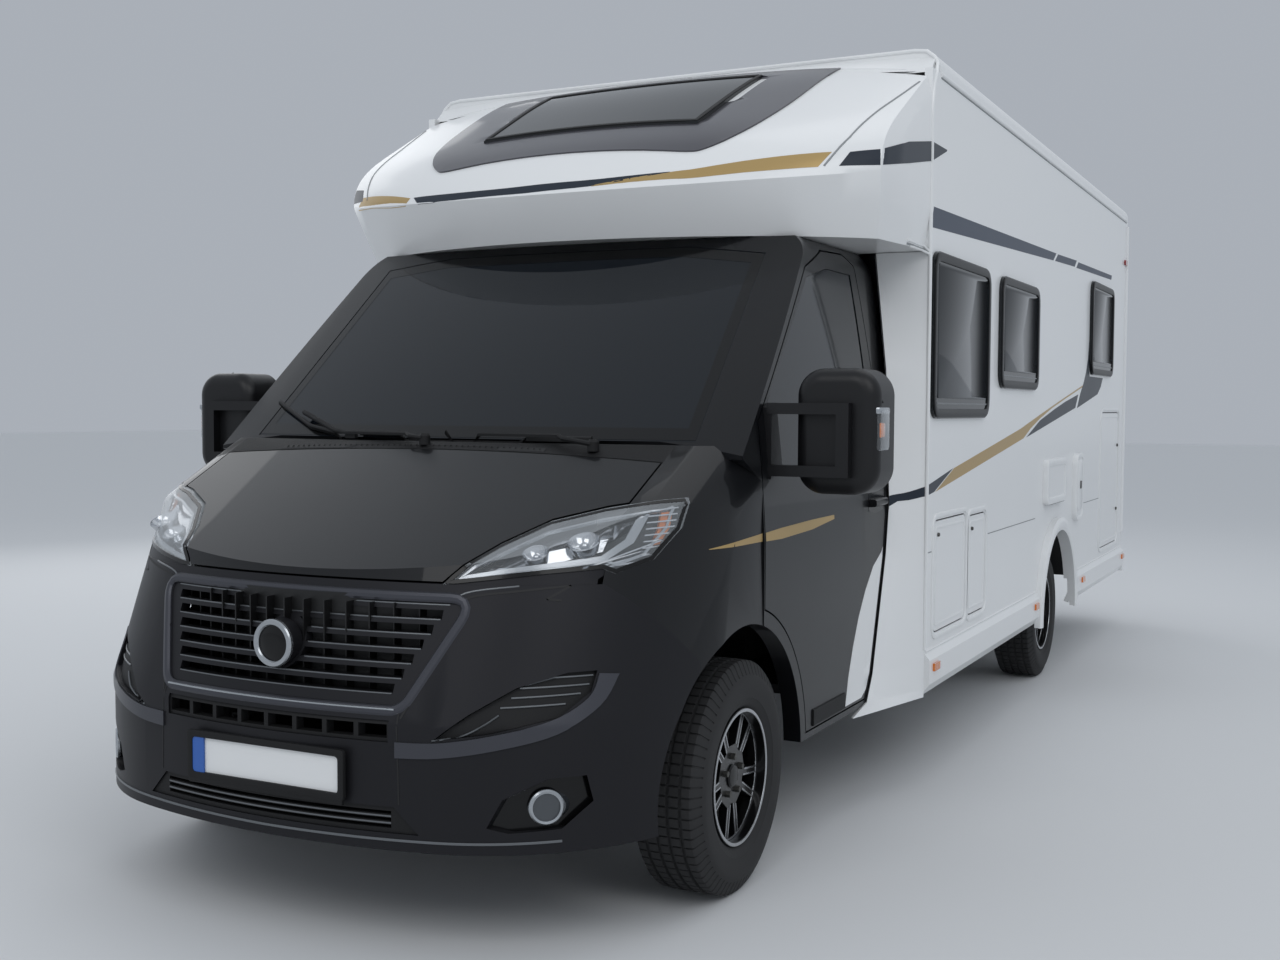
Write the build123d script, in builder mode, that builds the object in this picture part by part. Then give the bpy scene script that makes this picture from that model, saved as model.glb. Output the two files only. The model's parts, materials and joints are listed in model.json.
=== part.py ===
"""Low-profile motorhome on a van cab, with a long coach body, at its real size.

+X points forward, +Y to the vehicle's left and +Z up. The origin is on the ground under the
middle of the vehicle's length. Lengths are millimetres, and distances along the vehicle are
given as set back from the nose, which at() turns into X.
"""
from build123d import *
from math import cos, hypot, radians, sin, tan
import os

# Driving dimensions
LENGTH = 7400
BODY_WIDTH = 2300
CAB_WIDTH = 2050
WHEELBASE = 4035
FRONT_OVERHANG = 948
FRONT_TRACK = 1810
REAR_TRACK = 1980
TYRE_RADIUS = 350
TYRE_WIDTH = 225
BEAD_RADIUS = 205
RIM_WIDTH = 178

# Coach body, set back from the nose
BODY_START = 2400
BODY_END = 7300
ROOF_START = 2500
WALL = 31
WALL_BOTTOM = 490
EAVES = 2740
ROOF_TOP = EAVES + 90
FLOOR_TOP = 555
FLOOR_THICKNESS = 45
REAR_ARCH_RADIUS = 452
WHEEL_BOX_WALL = 12

# Cab
CAB_END = 2385
CAB_SKIN = 60
NOSE_SKIN = 30
GLASS_RECESS = 3
GLASS_THICKNESS = 9
PLATE_WIDTH = 520
PLATE_HEIGHT = 110
SILL = 365
DOOR_FRONT = 1065
FRONT_ARCH_RADIUS = 460
FRONT_ARCH_SETBACK = 932
BONNET_FRONT = 149
BONNET_FRONT_HEIGHT = 975
BONNET_SLOPE = 27.5
SCREEN_FOOT = 884
SCREEN_FOOT_HEIGHT = 1361
SCREEN_RAKE = 1.10
SCUTTLE_HEIGHT = SCREEN_FOOT_HEIGHT - 21
SEAM = 6

# Running gear
HUB_RADIUS = 30
HUB_PLAY = 0.6
KINGPIN_Y = 775
KINGPIN_RADIUS = 14
RAIL_TOP = FLOOR_TOP - FLOOR_THICKNESS
RAIL_DEPTH = 165
RAIL_WIDTH = 60
RAIL_Y = 420

# Tow bar bolt holes in the rear end of each chassis rail
TOW_BOLT_RADIUS = 6.5
TOW_BOLT_SPACING_X = 100
TOW_BOLT_SPACING_Z = 60
TOW_BOLT_SETBACK = 7130


def at(setback):
    """X of a place that is set back from the nose."""
    return LENGTH / 2 - setback


FRONT_AXLE_X = at(FRONT_OVERHANG)
REAR_AXLE_X = FRONT_AXLE_X - WHEELBASE
HALF_BODY = BODY_WIDTH / 2
HALF_CAB = CAB_WIDTH / 2
INNER_WALL = HALF_BODY - WALL

os.makedirs("parts", exist_ok=True)


def save(shape, name):
    """Label a finished piece and write it to its own file."""
    shape.label = name
    export_step(shape, f"parts/{name}.step")


def mirrored(shape):
    """The same piece on the other side of the vehicle."""
    with BuildPart() as twin:
        mirror(shape, about=Plane.XZ)
    return twin.part


def both_sides(shape):
    """A piece and its twin as two solids of one node."""
    with BuildPart() as pair:
        add(shape)
        mirror(shape, about=Plane.XZ)
    return pair.part


def side_prism(points, near, far):
    """A straight-sided block drawn in side view from (setback, height) points."""
    with BuildPart() as block:
        with BuildSketch(Plane.XZ.offset(-near)):
            with BuildLine():
                Polyline([(at(d), z) for d, z in points], close=True)
            make_face()
        extrude(amount=near - far)
    return block.part


def front_prism(points, front, back):
    """A straight-sided block drawn in front view from (y, height) points."""
    with BuildPart() as block:
        with BuildSketch(Plane.YZ.offset(at(back))):
            with BuildLine():
                Polyline(points, close=True)
            make_face()
        extrude(amount=back - front)
    return block.part


def top_prism(points, low, high):
    """A straight-sided block drawn in plan from (setback, y) points."""
    with BuildPart() as block:
        with BuildSketch(Plane.XY.offset(low)):
            with BuildLine():
                Polyline([(at(d), y) for d, y in points], close=True)
            make_face()
        extrude(amount=high - low)
    return block.part


# Openings in the coach walls: setbacks of the front and rear edges, heights, corner radius
OPENINGS = {
    "window_left_front": (1, 2450, 3290, 1450, 2025, 60),
    "window_left_middle": (1, 3580, 4340, 1583, 2025, 60),
    "window_left_rear": (1, 5950, 6690, 1700, 2195, 60),
    "window_right_front": (-1, 2550, 3190, 1583, 2025, 60),
    "window_right_middle": (-1, 4450, 5150, 1700, 2025, 60),
    "window_right_rear": (-1, 5950, 6690, 1700, 2195, 60),
    "gas_locker_flap": (1, 2510, 3010, 575, 1020, 45),
    "service_flap": (1, 3050, 3360, 575, 1005, 45),
    "garage_door_left": (1, 6395, 7110, 575, 1440, 70),
    "garage_door_right": (-1, 6395, 7110, 575, 1440, 70),
    "entrance_door": (-1, 3450, 4110, 575, 2330, 60),
}


def side_wall(side):
    """One wall of the coach body, drawn on the left and mirrored for the right."""
    with BuildPart() as wall:
        with BuildSketch(Plane.XZ.offset(-INNER_WALL)):
            with BuildLine():
                Polyline(
                    (at(BODY_END), WALL_BOTTOM),
                    (at(BODY_START), WALL_BOTTOM),
                    (at(BODY_START), EAVES),
                    (at(BODY_END), EAVES),
                    close=True,
                )
            make_face()
            with Locations((REAR_AXLE_X, TYRE_RADIUS)):
                Circle(REAR_ARCH_RADIUS, mode=Mode.SUBTRACT)
            for which, front, rear, low, high, radius in OPENINGS.values():
                if which == side:
                    with Locations((at((front + rear) / 2), (low + high) / 2)):
                        RectangleRounded(rear - front, high - low, radius, mode=Mode.SUBTRACT)
        extrude(amount=-WALL)
    return wall.part if side > 0 else mirrored(wall.part)


def leaf(name, gap, thickness=WALL, proud=0):
    """The panel that closes an opening, with a gap all round."""
    side, front, rear, low, high, radius = OPENINGS[name]
    with BuildPart() as panel:
        with BuildSketch(Plane.XZ.offset(-(HALF_BODY - thickness))):
            with Locations((at((front + rear) / 2), (low + high) / 2)):
                RectangleRounded(rear - front - 2 * gap, high - low - 2 * gap, radius - gap)
        extrude(amount=-(thickness + proud))
    return panel.part if side > 0 else mirrored(panel.part)


FRAME_PROUD = 14
FRAME_BORDER = 34


def window_unit(name):
    """A framed acrylic window: its plug in the wall and its proud outer pane."""
    side, front, rear, low, high, radius = OPENINGS[name]
    with BuildPart() as unit:
        with BuildSketch(Plane.XZ.offset(-(HALF_BODY - WALL))):
            with Locations((at((front + rear) / 2), (low + high) / 2)):
                RectangleRounded(rear - front - 2, high - low - 2, radius - 1)
        extrude(amount=-WALL)
        with BuildSketch(Plane.XZ.offset(-HALF_BODY)):
            with Locations((at((front + rear) / 2), (low + high) / 2)):
                RectangleRounded(
                    rear - front + 2 * FRAME_BORDER,
                    high - low + 2 * FRAME_BORDER,
                    radius + FRAME_BORDER / 2,
                )
        extrude(amount=-FRAME_PROUD)
    return unit.part if side > 0 else mirrored(unit.part)


# Coach body panels
save(side_wall(1), "side_wall_left")
save(side_wall(-1), "side_wall_right")


def roof_section(width, top, radius, foot=EAVES):
    """Round-shouldered roof section, in front view above its foot."""
    with BuildSketch() as section:
        with BuildLine():
            left = Line((-width / 2, foot), (-width / 2, top - radius))
            corner = RadiusArc(left @ 1, (-width / 2 + radius, top), radius)
            crown = Line(corner @ 1, (width / 2 - radius, top))
            other = RadiusArc(crown @ 1, (width / 2, top - radius), radius)
            Polyline(other @ 1, (width / 2, foot), left @ 0)
        make_face()
    return section.sketch


ROOF_RADIUS = 70

with BuildPart() as roof_panel:
    with BuildSketch(Plane.YZ.offset(at(BODY_END))):
        add(roof_section(BODY_WIDTH, ROOF_TOP, ROOF_RADIUS))
    extrude(amount=BODY_END - ROOF_START)
    with BuildSketch(Plane.YZ.offset(at(BODY_END))):
        add(roof_section(BODY_WIDTH - 2 * WALL, ROOF_TOP - WALL, ROOF_RADIUS - WALL))
    extrude(amount=BODY_END - ROOF_START, mode=Mode.SUBTRACT)
save(roof_panel.part, "roof_panel")

with BuildPart() as rear_wall:
    with BuildSketch(Plane.YZ.offset(at(BODY_END + WALL))):
        add(roof_section(BODY_WIDTH, ROOF_TOP, ROOF_RADIUS))
        with Locations((0, (WALL_BOTTOM + EAVES) / 2)):
            Rectangle(BODY_WIDTH, EAVES - WALL_BOTTOM)
    extrude(amount=WALL)
save(rear_wall.part, "rear_wall")

FLOOR_NOTCH = REAR_ARCH_RADIUS + WHEEL_BOX_WALL
WHEEL_BOX_INNER = REAR_TRACK / 2 - TYRE_WIDTH / 2 - 45

with BuildPart() as floor_panel:
    with BuildSketch(Plane.XY.offset(RAIL_TOP)):
        with Locations((at((BODY_START + BODY_END) / 2), 0)):
            Rectangle(BODY_END - BODY_START, 2 * INNER_WALL)
        for side in (1, -1):
            with Locations((REAR_AXLE_X, side * (INNER_WALL + WHEEL_BOX_INNER) / 2)):
                Rectangle(2 * FLOOR_NOTCH, INNER_WALL - WHEEL_BOX_INNER, mode=Mode.SUBTRACT)
    extrude(amount=FLOOR_THICKNESS)
save(floor_panel.part, "floor_panel")

with BuildPart() as wheel_box:
    with BuildSketch(Plane.XZ.offset(-WHEEL_BOX_INNER)):
        with Locations((REAR_AXLE_X, TYRE_RADIUS)):
            Circle(FLOOR_NOTCH)
        with Locations((REAR_AXLE_X, RAIL_TOP - 500)):
            Rectangle(2 * FLOOR_NOTCH, 1000, mode=Mode.SUBTRACT)
    extrude(amount=WHEEL_BOX_INNER - INNER_WALL)
    with BuildSketch(Plane.XZ.offset(-(WHEEL_BOX_INNER + WHEEL_BOX_WALL))):
        with Locations((REAR_AXLE_X, TYRE_RADIUS)):
            Circle(REAR_ARCH_RADIUS)
    extrude(amount=-400, mode=Mode.SUBTRACT)

for side, node in ((1, "windows_left"), (-1, "windows_right")):
    with BuildPart() as glazing:
        for name, opening in OPENINGS.items():
            if name.startswith("window") and opening[0] == side:
                add(window_unit(name))
    save(glazing.part, node)

LEAF_GAP = 6
for flap in ("gas_locker_flap", "service_flap", "garage_door_left", "garage_door_right"):
    save(leaf(flap, LEAF_GAP), flap)

# Entrance door with a window of its own
DOOR_WINDOW = (3600, 3960, 1560, 2160, 50)
DOOR_THICKNESS = 31


def door_window(gap, thickness, proud):
    """Block in the entrance door's window opening, on the right wall."""
    front, rear, low, high, radius = DOOR_WINDOW
    with BuildPart() as block:
        with BuildSketch(Plane.XZ.offset(HALF_BODY - thickness)):
            with Locations((at((front + rear) / 2), (low + high) / 2)):
                RectangleRounded(rear - front - 2 * gap, high - low - 2 * gap, radius - gap)
        extrude(amount=thickness + proud)
    return block.part


with BuildPart() as entrance_door:
    add(leaf("entrance_door", LEAF_GAP, DOOR_THICKNESS))
    add(door_window(0, DOOR_THICKNESS, 1), mode=Mode.SUBTRACT)
save(entrance_door.part, "entrance_door")
save(door_window(0.5, DOOR_THICKNESS, 8), "entrance_door_window")

# Skirts along the sills, with their wheel arches
SKIRT_TOP = 515
SKIRT_BOTTOM = 350
SKIRT_PROUD = 22
SKIRT_THICKNESS = 24
ARCH_TRIM = 68

with BuildPart() as skirt:
    with BuildSketch(Plane.YZ.offset(at(BODY_END))):
        with BuildLine():
            Polyline(
                (HALF_BODY, SKIRT_TOP),
                (HALF_BODY + SKIRT_PROUD, SKIRT_TOP - 28),
                (HALF_BODY + SKIRT_PROUD, SKIRT_BOTTOM + 45),
                (HALF_BODY - 10, SKIRT_BOTTOM),
                (HALF_BODY - 10 - SKIRT_THICKNESS, SKIRT_BOTTOM + 8),
                (HALF_BODY - 12, SKIRT_BOTTOM + 60),
                (HALF_BODY - 12, WALL_BOTTOM),
                (HALF_BODY, WALL_BOTTOM),
                close=True,
            )
        make_face()
    extrude(amount=BODY_END - BODY_START)
    with BuildSketch(Plane.XZ.offset(-HALF_BODY)):
        with Locations((REAR_AXLE_X, TYRE_RADIUS)):
            Circle(REAR_ARCH_RADIUS + ARCH_TRIM)
        with Locations((REAR_AXLE_X, SKIRT_BOTTOM - 500 - 15)):
            Rectangle(2000, 1000, mode=Mode.SUBTRACT)
    extrude(amount=-(SKIRT_PROUD + 8))
    with BuildSketch(Plane.XZ.offset(-(HALF_BODY - 60))):
        with Locations((REAR_AXLE_X, TYRE_RADIUS)):
            Circle(REAR_ARCH_RADIUS)
    extrude(amount=-140, mode=Mode.SUBTRACT)
save(both_sides(skirt.part), "skirts")

# Overcab cap, lofted from plan outlines that lie on tilted planes.
# Height at the nose, tilt in degrees, setback of the nose, draw-in of the flanks, corner depth
CAP_BOTTOM = 2052
CAP_SKIN = 34
CAP_UNDER = (
    (CAP_BOTTOM, 0, 1545, 40, 400),
    (2132, 6, 1486, 16, 400),
    (2207, 9, 1443, 0, 400),
)
CAP_DOME = (
    (2207, 9, 1443, 0, 400),
    (2325, 8, 1540, 0, 330),
    (2500, 6, 1810, 0, 270),
    (2665, 3, 2130, 0, 210),
    (ROOF_TOP - 30, 0, 2440, 0, 160),
    (ROOF_TOP + 50, 0, 2640, 0, 160),
)
CAP_LAP = 18

# Shoulders that carry the dome into the coach roof: setback, top and radius of each section
CAP_SHOULDER = (
    (2250, ROOF_TOP - 235, 200),
    (ROOF_START + 20, ROOF_TOP - 38, 90),
)


def cap_outline(half, corner_depth):
    """Plan outline of the cap: a bowed nose, round corners and straight flanks."""
    bow_depth = 0.21 * corner_depth
    with BuildSketch() as outline:
        with BuildLine():
            bow = ThreePointArc((-bow_depth, -half / 2), (0, 0), (-bow_depth, half / 2))
            corner = TangentArc(bow @ 1, (-corner_depth, half - 38), tangent=bow % 1)
            flank = Line(corner @ 1, (-corner_depth - 300, half))
            stern = Line(flank @ 1, (-2000, half))
            mirror([corner, flank, stern], about=Plane.XZ)
            Line((-2000, half), (-2000, -half))
        make_face()
    return outline.sketch


def cap_section(section, inset):
    """One outline of the cap on its tilted plane, drawn in by the inset."""
    height, tilt, front, draw, corner_depth = section
    lean = radians(tilt)
    plane = Plane(
        origin=(at(front + 1.7 * inset), 0, height),
        x_dir=(cos(lean), 0, -sin(lean)),
        z_dir=(sin(lean), 0, cos(lean)),
    )
    outline = cap_outline(HALF_BODY + CAP_LAP - draw - inset, corner_depth)
    return outline.moved(Location(plane)).faces()[0]


def cap_form(inset):
    """Outer form of the overcab cap: undercut below the crease, domed above it."""
    with BuildPart() as form:
        loft([cap_section(section, inset) for section in CAP_UNDER], ruled=True)
        loft([cap_section(section, inset) for section in CAP_DOME])
        with BuildSketch(Plane.YZ.offset(at(3000))):
            add(roof_section(BODY_WIDTH - 2 * inset, ROOF_TOP - inset, ROOF_RADIUS - 0.8 * inset,
                             CAP_BOTTOM + inset))
        extrude(amount=1700, mode=Mode.INTERSECT)
        sections = []
        for setback, top, radius in CAP_SHOULDER:
            section = roof_section(BODY_WIDTH - 2 * inset, top - inset, radius - 0.8 * inset,
                                   CAP_BOTTOM + 300)
            sections.append(section.moved(Location(Plane.YZ.offset(at(setback)))).faces()[0])
        loft(sections, ruled=True)
    return form.part


def nose_form(inset, drop):
    """Outer form of the nose: an upright plan curve that leans back above the bumper."""
    slope = radians(BONNET_SLOPE)
    with BuildPart() as form:
        with BuildSketch(Plane.XY.offset(290 - drop)) as plan:
            with BuildLine():
                front = ThreePointArc((at(60), -500), (at(0), 0), (at(60), 500))
                corner = TangentArc(front @ 1, (at(430), 940), tangent=front % 1)
                flank = TangentArc(corner @ 1, (at(DOOR_FRONT), HALF_CAB), tangent=corner % 1)
                mirror([corner, flank], about=Plane.XZ)
                Line(flank @ 1, (at(DOOR_FRONT), -HALF_CAB))
            make_face()
            if inset:
                offset(amount=-inset, kind=Kind.INTERSECTION, mode=Mode.REPLACE)
        extrude(amount=330 + drop)
        with BuildSketch(Plane.XY.offset(620)):
            add(plan.sketch_local)
        extrude(amount=1000, dir=(-tan(radians(22)), 0, 1))
        bonnet_plane = Plane(
            origin=(at(BONNET_FRONT), 0, BONNET_FRONT_HEIGHT),
            x_dir=(0, -1, 0),
            z_dir=(-cos(slope), 0, sin(slope)),
        )
        with BuildSketch(bonnet_plane.offset(-600)):
            with BuildLine():
                crown = ThreePointArc((-810, 0), (0, 22), (810, 0))
                shoulder = TangentArc(crown @ 1, (1015, -190), tangent=crown % 1)
                side = Line(shoulder @ 1, (1045, -1800))
                mirror([shoulder, side], about=Plane.YZ)
                Line((1045, -1800), (-1045, -1800))
            make_face()
            if inset:
                offset(amount=-inset, kind=Kind.INTERSECTION, mode=Mode.REPLACE)
        extrude(amount=2600, mode=Mode.INTERSECT)
        with BuildSketch(Plane.XY.offset(SCUTTLE_HEIGHT - inset)):
            Rectangle(2 * LENGTH, 2 * BODY_WIDTH)
        extrude(amount=500, mode=Mode.SUBTRACT)
    return form.part


def cab_section(inset, drop):
    """Front view section of the cabin: tumblehome sides and a nearly flat roof."""
    with BuildSketch() as section:
        with BuildLine():
            side = Line((HALF_CAB, SILL - drop), (HALF_CAB, 1050))
            upper = ThreePointArc(side @ 1, (HALF_CAB - 35, 1480), (925, 1960))
            shoulder = TangentArc(upper @ 1, (840, 2062), tangent=upper % 1)
            mirror([side, upper, shoulder], about=Plane.YZ)
            ThreePointArc(shoulder @ 1, (0, 2085), (-840, 2062))
            Line((-HALF_CAB, SILL - drop), (HALF_CAB, SILL - drop))
        make_face()
        if inset:
            offset(amount=-inset, kind=Kind.INTERSECTION, mode=Mode.REPLACE)
    return section.sketch


def side_shell(recess, thickness):
    """Left side of the cabin as a sheet of even thickness."""
    with BuildPart() as sheet:
        with BuildSketch(Plane.YZ.offset(at(2400))):
            add(cab_section(recess, 0))
            add(cab_section(recess + thickness, 300), mode=Mode.SUBTRACT)
            with Locations((945, 1160)):
                Rectangle(230, 1800, mode=Mode.INTERSECT)
        extrude(amount=1400)
    return sheet.part


def cabin_form(inset, drop):
    """Outer form of the cabin: raked windscreen, tumblehome sides and a nearly flat roof."""
    with BuildPart() as form:
        with BuildSketch(Plane.XY.offset(SILL - drop)):
            foot = SCREEN_FOOT - SCREEN_RAKE * (SCREEN_FOOT_HEIGHT - SILL + drop)
            with BuildLine():
                screen = ThreePointArc(
                    (at(foot + 75), -900), (at(foot), 0), (at(foot + 75), 900)
                )
                Polyline(screen @ 1, (at(foot + 120), 1100), (at(5000), 1100),
                         (at(5000), -1100), (at(foot + 120), -1100), screen @ 0)
            make_face()
            if inset:
                offset(amount=-inset, kind=Kind.INTERSECTION, mode=Mode.REPLACE)
        extrude(amount=2400 * hypot(1, SCREEN_RAKE), dir=(-SCREEN_RAKE, 0, 1))
        with BuildSketch(Plane.YZ.offset(at(3000))):
            add(cab_section(inset, drop))
        extrude(amount=3000, mode=Mode.INTERSECT)
        with BuildSketch(Plane.XZ):
            with BuildLine():
                Polyline(
                    (at(SCREEN_FOOT - 24 + inset), SILL - drop),
                    (at(CAB_END + drop), SILL - drop),
                    (at(CAB_END + drop), CAP_BOTTOM - 2 - inset),
                    (at(1600), CAP_BOTTOM - 2 - inset),
                    (at(SCREEN_FOOT - 24 + inset), SCREEN_FOOT_HEIGHT + 340),
                    close=True,
                )
            make_face()
        extrude(amount=1200, both=True, mode=Mode.INTERSECT)
    return form.part


# Corner fairings between the cab doors and the coach walls:
# height, setback and half width of the front edge
FAIRING_SECTIONS = (
    (345, 1900, 1032),
    (374, 2062, 1032),
    (470, 2128, 1032),
    (900, 2272, 1032),
    (1100, 2307, 1032),
    (1600, 2335, 1005),
    (2050, 2392, 940),
)
FAIRING_SKIN = 28

with BuildPart() as fairing:
    for height, front, half_width in FAIRING_SECTIONS:
        with BuildSketch(Plane.XY.offset(height)):
            with BuildLine():
                Polyline(
                    (at(front), half_width),
                    (at(BODY_START), HALF_BODY),
                    (at(BODY_START), INNER_WALL),
                    (at(front + FAIRING_SKIN), half_width - FAIRING_SKIN / 2),
                    close=True,
                )
            make_face()
    loft(ruled=True)
    add(cabin_form(0, 0), mode=Mode.SUBTRACT)
save(both_sides(fairing.part), "corner_fairings")

# Overcab cap: a shell that is open to the coach body and above the cab seats
CAB_HATCH = [(1800, 720), (CAB_END + 25, 720), (CAB_END + 25, -720), (1800, -720)]
outer_cap = cap_form(0)
with BuildPart() as overcab_cap:
    add(outer_cap)
    add(cap_form(CAP_SKIN), mode=Mode.SUBTRACT)
    add(side_prism([(3100, 2000), (ROOF_START, 2000), (ROOF_START, 2900), (3100, 2900)],
                   -1300, 1300), mode=Mode.SUBTRACT)
    add(side_prism([(ROOF_START + 1, 2000), (BODY_START, 2000), (BODY_START, EAVES),
                    (ROOF_START + 1, EAVES)], -1300, 1300), mode=Mode.SUBTRACT)
    add(top_prism(CAB_HATCH, 2000, 2120), mode=Mode.SUBTRACT)

# Skylight in the cap's brow: half widths at its foot and at its head, in plan
SKYLIGHT = [(1790, 460), (2340, 485), (2340, -485), (1790, -460)]
SKYLIGHT_PROUD = 16
with BuildPart() as overcab_skylight:
    add(cap_form(-SKYLIGHT_PROUD))
    add(cap_form(SKYLIGHT_PROUD), mode=Mode.SUBTRACT)
    add(top_prism(SKYLIGHT, 2300, 2900), mode=Mode.INTERSECT)
with BuildPart() as cap_with_opening:
    add(overcab_cap.part)
    add(top_prism(SKYLIGHT, 2300, 2900), mode=Mode.SUBTRACT)
save(cap_with_opening.part, "overcab_cap")
save(overcab_skylight.part, "overcab_skylight")

# Cab skin, then its panels cut out of it
with BuildPart() as nose_skin:
    add(nose_form(0, 0))
    add(nose_form(NOSE_SKIN, 200), mode=Mode.SUBTRACT)
with BuildPart() as cabin_skin:
    add(cabin_form(0, 0))
    add(cabin_form(CAB_SKIN, 200), mode=Mode.SUBTRACT)
with BuildPart() as glass_skin:
    add(cabin_form(GLASS_RECESS, 0))
    add(cabin_form(GLASS_RECESS + GLASS_THICKNESS, 300), mode=Mode.SUBTRACT)
with BuildPart() as lamp_skin:
    add(nose_form(0, 0))
    add(nose_form(75, 200), mode=Mode.SUBTRACT)


def arch_cylinder(radius):
    """Cylinder through both front wheel arches."""
    with BuildPart() as cylinder:
        with BuildSketch(Plane.XZ):
            with Locations((at(FRONT_ARCH_SETBACK), TYRE_RADIUS)):
                Circle(radius)
        extrude(amount=1200, both=True)
    return cylinder.part


def door_prism(gap):
    """Side view outline of a cab door, as a block across the whole cab."""
    with BuildPart() as prism:
        with BuildSketch(Plane.XZ):
            with BuildLine():
                Polyline(
                    (at(DOOR_FRONT), 600),
                    (at(DOOR_FRONT), 1415),
                    (at(1640), 1937),
                    (at(1850), 2012),
                    (at(2100), 2024),
                    (at(2185), 1985),
                    (at(2240), 1600),
                    (at(2290), 1100),
                    (at(2255), 900),
                    (at(2110), 470),
                    (at(2050), 385),
                    (at(1300), 385),
                    close=True,
                )
            make_face()
            with Locations((at(FRONT_ARCH_SETBACK), TYRE_RADIUS)):
                Circle(FRONT_ARCH_RADIUS + 45, mode=Mode.SUBTRACT)
            if gap:
                offset(amount=-gap, kind=Kind.INTERSECTION, mode=Mode.REPLACE)
        extrude(amount=1300, both=True)
    return prism.part


def door_glass_prism(gap):
    """Side view outline of the door glass."""
    with BuildPart() as prism:
        with BuildSketch(Plane.XZ):
            with BuildLine():
                Polyline(
                    (at(1120), 1265),
                    (at(1120), 1415),
                    (at(1195), 1515),
                    (at(1645), 1900),
                    (at(1850), 1945),
                    (at(2120), 1945),
                    (at(2150), 1600),
                    (at(2175), 1265),
                    close=True,
                )
            make_face()
            if gap:
                offset(amount=-gap, kind=Kind.INTERSECTION, mode=Mode.REPLACE)
        extrude(amount=1300, both=True)
    return prism.part


# Inner edge of the cab doors in front view, which leaves the windscreen pillars whole
DOOR_INNER_EDGE = [(945, 300), (945, 1050), (912, 1480), (845, 1985), (845, 2100), (1300, 2100),
                   (1300, 300)]


def side_zone(edge, gap):
    """Everything outboard of a line in front view, on the left."""
    with BuildPart() as zone:
        with BuildSketch(Plane.YZ.offset(at(2600))):
            with BuildLine():
                Polyline([(y + gap, z) for y, z in edge], close=True)
            make_face()
        extrude(amount=1800)
    return zone.part


HEADLAMP = [(449, 977), (551, 1079), (640, 1138), (770, 1174), (885, 1195), (940, 1200),
            (950, 1185), (945, 1117), (910, 1036), (846, 1004), (820, 1018), (700, 1007)]


def headlamp_prism(gap):
    """Front view outline of the headlamp on the left, as a block reaching back."""
    with BuildPart() as prism:
        with BuildSketch(Plane.YZ.offset(at(800))):
            with BuildLine():
                Polyline(HEADLAMP, close=True)
            make_face()
            if gap:
                offset(amount=gap, kind=Kind.INTERSECTION, mode=Mode.REPLACE)
        extrude(amount=900)
    return both_sides(prism.part)


SCREEN_LOW = SCREEN_FOOT_HEIGHT - 11
SCREEN_OUTLINE = [(-850, SCREEN_LOW), (850, SCREEN_LOW), (792, 1985), (500, 2020), (-500, 2020),
                  (-792, 1985)]


def screen_prism(gap):
    """Front view outline of the windscreen opening."""
    with BuildPart() as prism:
        with BuildSketch(Plane.YZ.offset(at(SCREEN_FOOT + 876))):
            with BuildLine():
                Polyline(SCREEN_OUTLINE, close=True)
            make_face()
            if gap:
                offset(amount=-gap, kind=Kind.INTERSECTION, mode=Mode.REPLACE)
        extrude(amount=920)
    return prism.part


BONNET_REAR = 765
BONNET_HALF_WIDTH = 825
BUMPER_TOP = 978
bonnet_zone = side_prism([(50, BUMPER_TOP), (BONNET_REAR, BUMPER_TOP), (BONNET_REAR, 1500),
                          (50, 1500)], -BONNET_HALF_WIDTH, BONNET_HALF_WIDTH)
bonnet_leaf_zone = side_prism(
    [(50, BUMPER_TOP + SEAM), (BONNET_REAR - SEAM, BUMPER_TOP + SEAM),
     (BONNET_REAR - SEAM, 1500), (50, 1500)],
    -BONNET_HALF_WIDTH + SEAM, BONNET_HALF_WIDTH - SEAM)
bumper_zone = side_prism([(-50, 200), (-50, BUMPER_TOP), (190, BUMPER_TOP), (290, 1012),
                          (365, 1012), (650, 745), (650, 200)], -1200, 1200)
scuttle_zone = side_prism(
    [(BONNET_REAR, SCUTTLE_HEIGHT - 190), (985, SCUTTLE_HEIGHT - 190),
     (985, SCUTTLE_HEIGHT + 160), (BONNET_REAR, SCUTTLE_HEIGHT + 160)],
    -BONNET_HALF_WIDTH, BONNET_HALF_WIDTH)
WING_REAR = [(DOOR_FRONT - 3, SCUTTLE_HEIGHT - 110), (930, SCUTTLE_HEIGHT - 40),
             (880, SCUTTLE_HEIGHT + 260)]
wing_zone = side_prism([(200, 100), (DOOR_FRONT - 3, 100)] + WING_REAR
                       + [(200, SCUTTLE_HEIGHT + 260)], -1200, 1200)
nose_zone = side_prism([(-100, 0), (DOOR_FRONT - 3, 0)] + WING_REAR
                       + [(-100, SCUTTLE_HEIGHT + 260)], -1200, 1200)

left_half = top_prism([(-200, 0), (3000, 0), (3000, 1300), (-200, 1300)], 0, 3000)

with BuildPart() as bonnet:
    add(nose_skin.part)
    add(bonnet_leaf_zone, mode=Mode.INTERSECT)
    add(headlamp_prism(SEAM), mode=Mode.SUBTRACT)
save(bonnet.solids().sort_by(SortBy.VOLUME)[-1], "bonnet")

# Grille mouth, lower mouth and lowest intake, in front view: (y, height) corners of the left half
GRILLE_MOUTH = [(0, 932), (530, 932), (405, 668), (0, 668)]
LOWER_MOUTH = [(0, 632), (385, 632), (385, 575), (0, 575)]
INTAKE_MOUTH = [(0, 405), (400, 405), (470, 335), (0, 335)]

# Side scoop of the bumper on the left, in front view, and the lamp scoop below it
SCOOP = [(505, 586), (650, 608), (790, 645), (842, 705), (846, 758), (790, 756), (690, 722),
         (590, 655)]
FOG_LAMP = (765, 412)
FOG_LENS_RADIUS = 38
FOG_POCKET = [(640, 362), (690, 348), (800, 354), (858, 420), (846, 490), (775, 488), (676, 436)]


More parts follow.
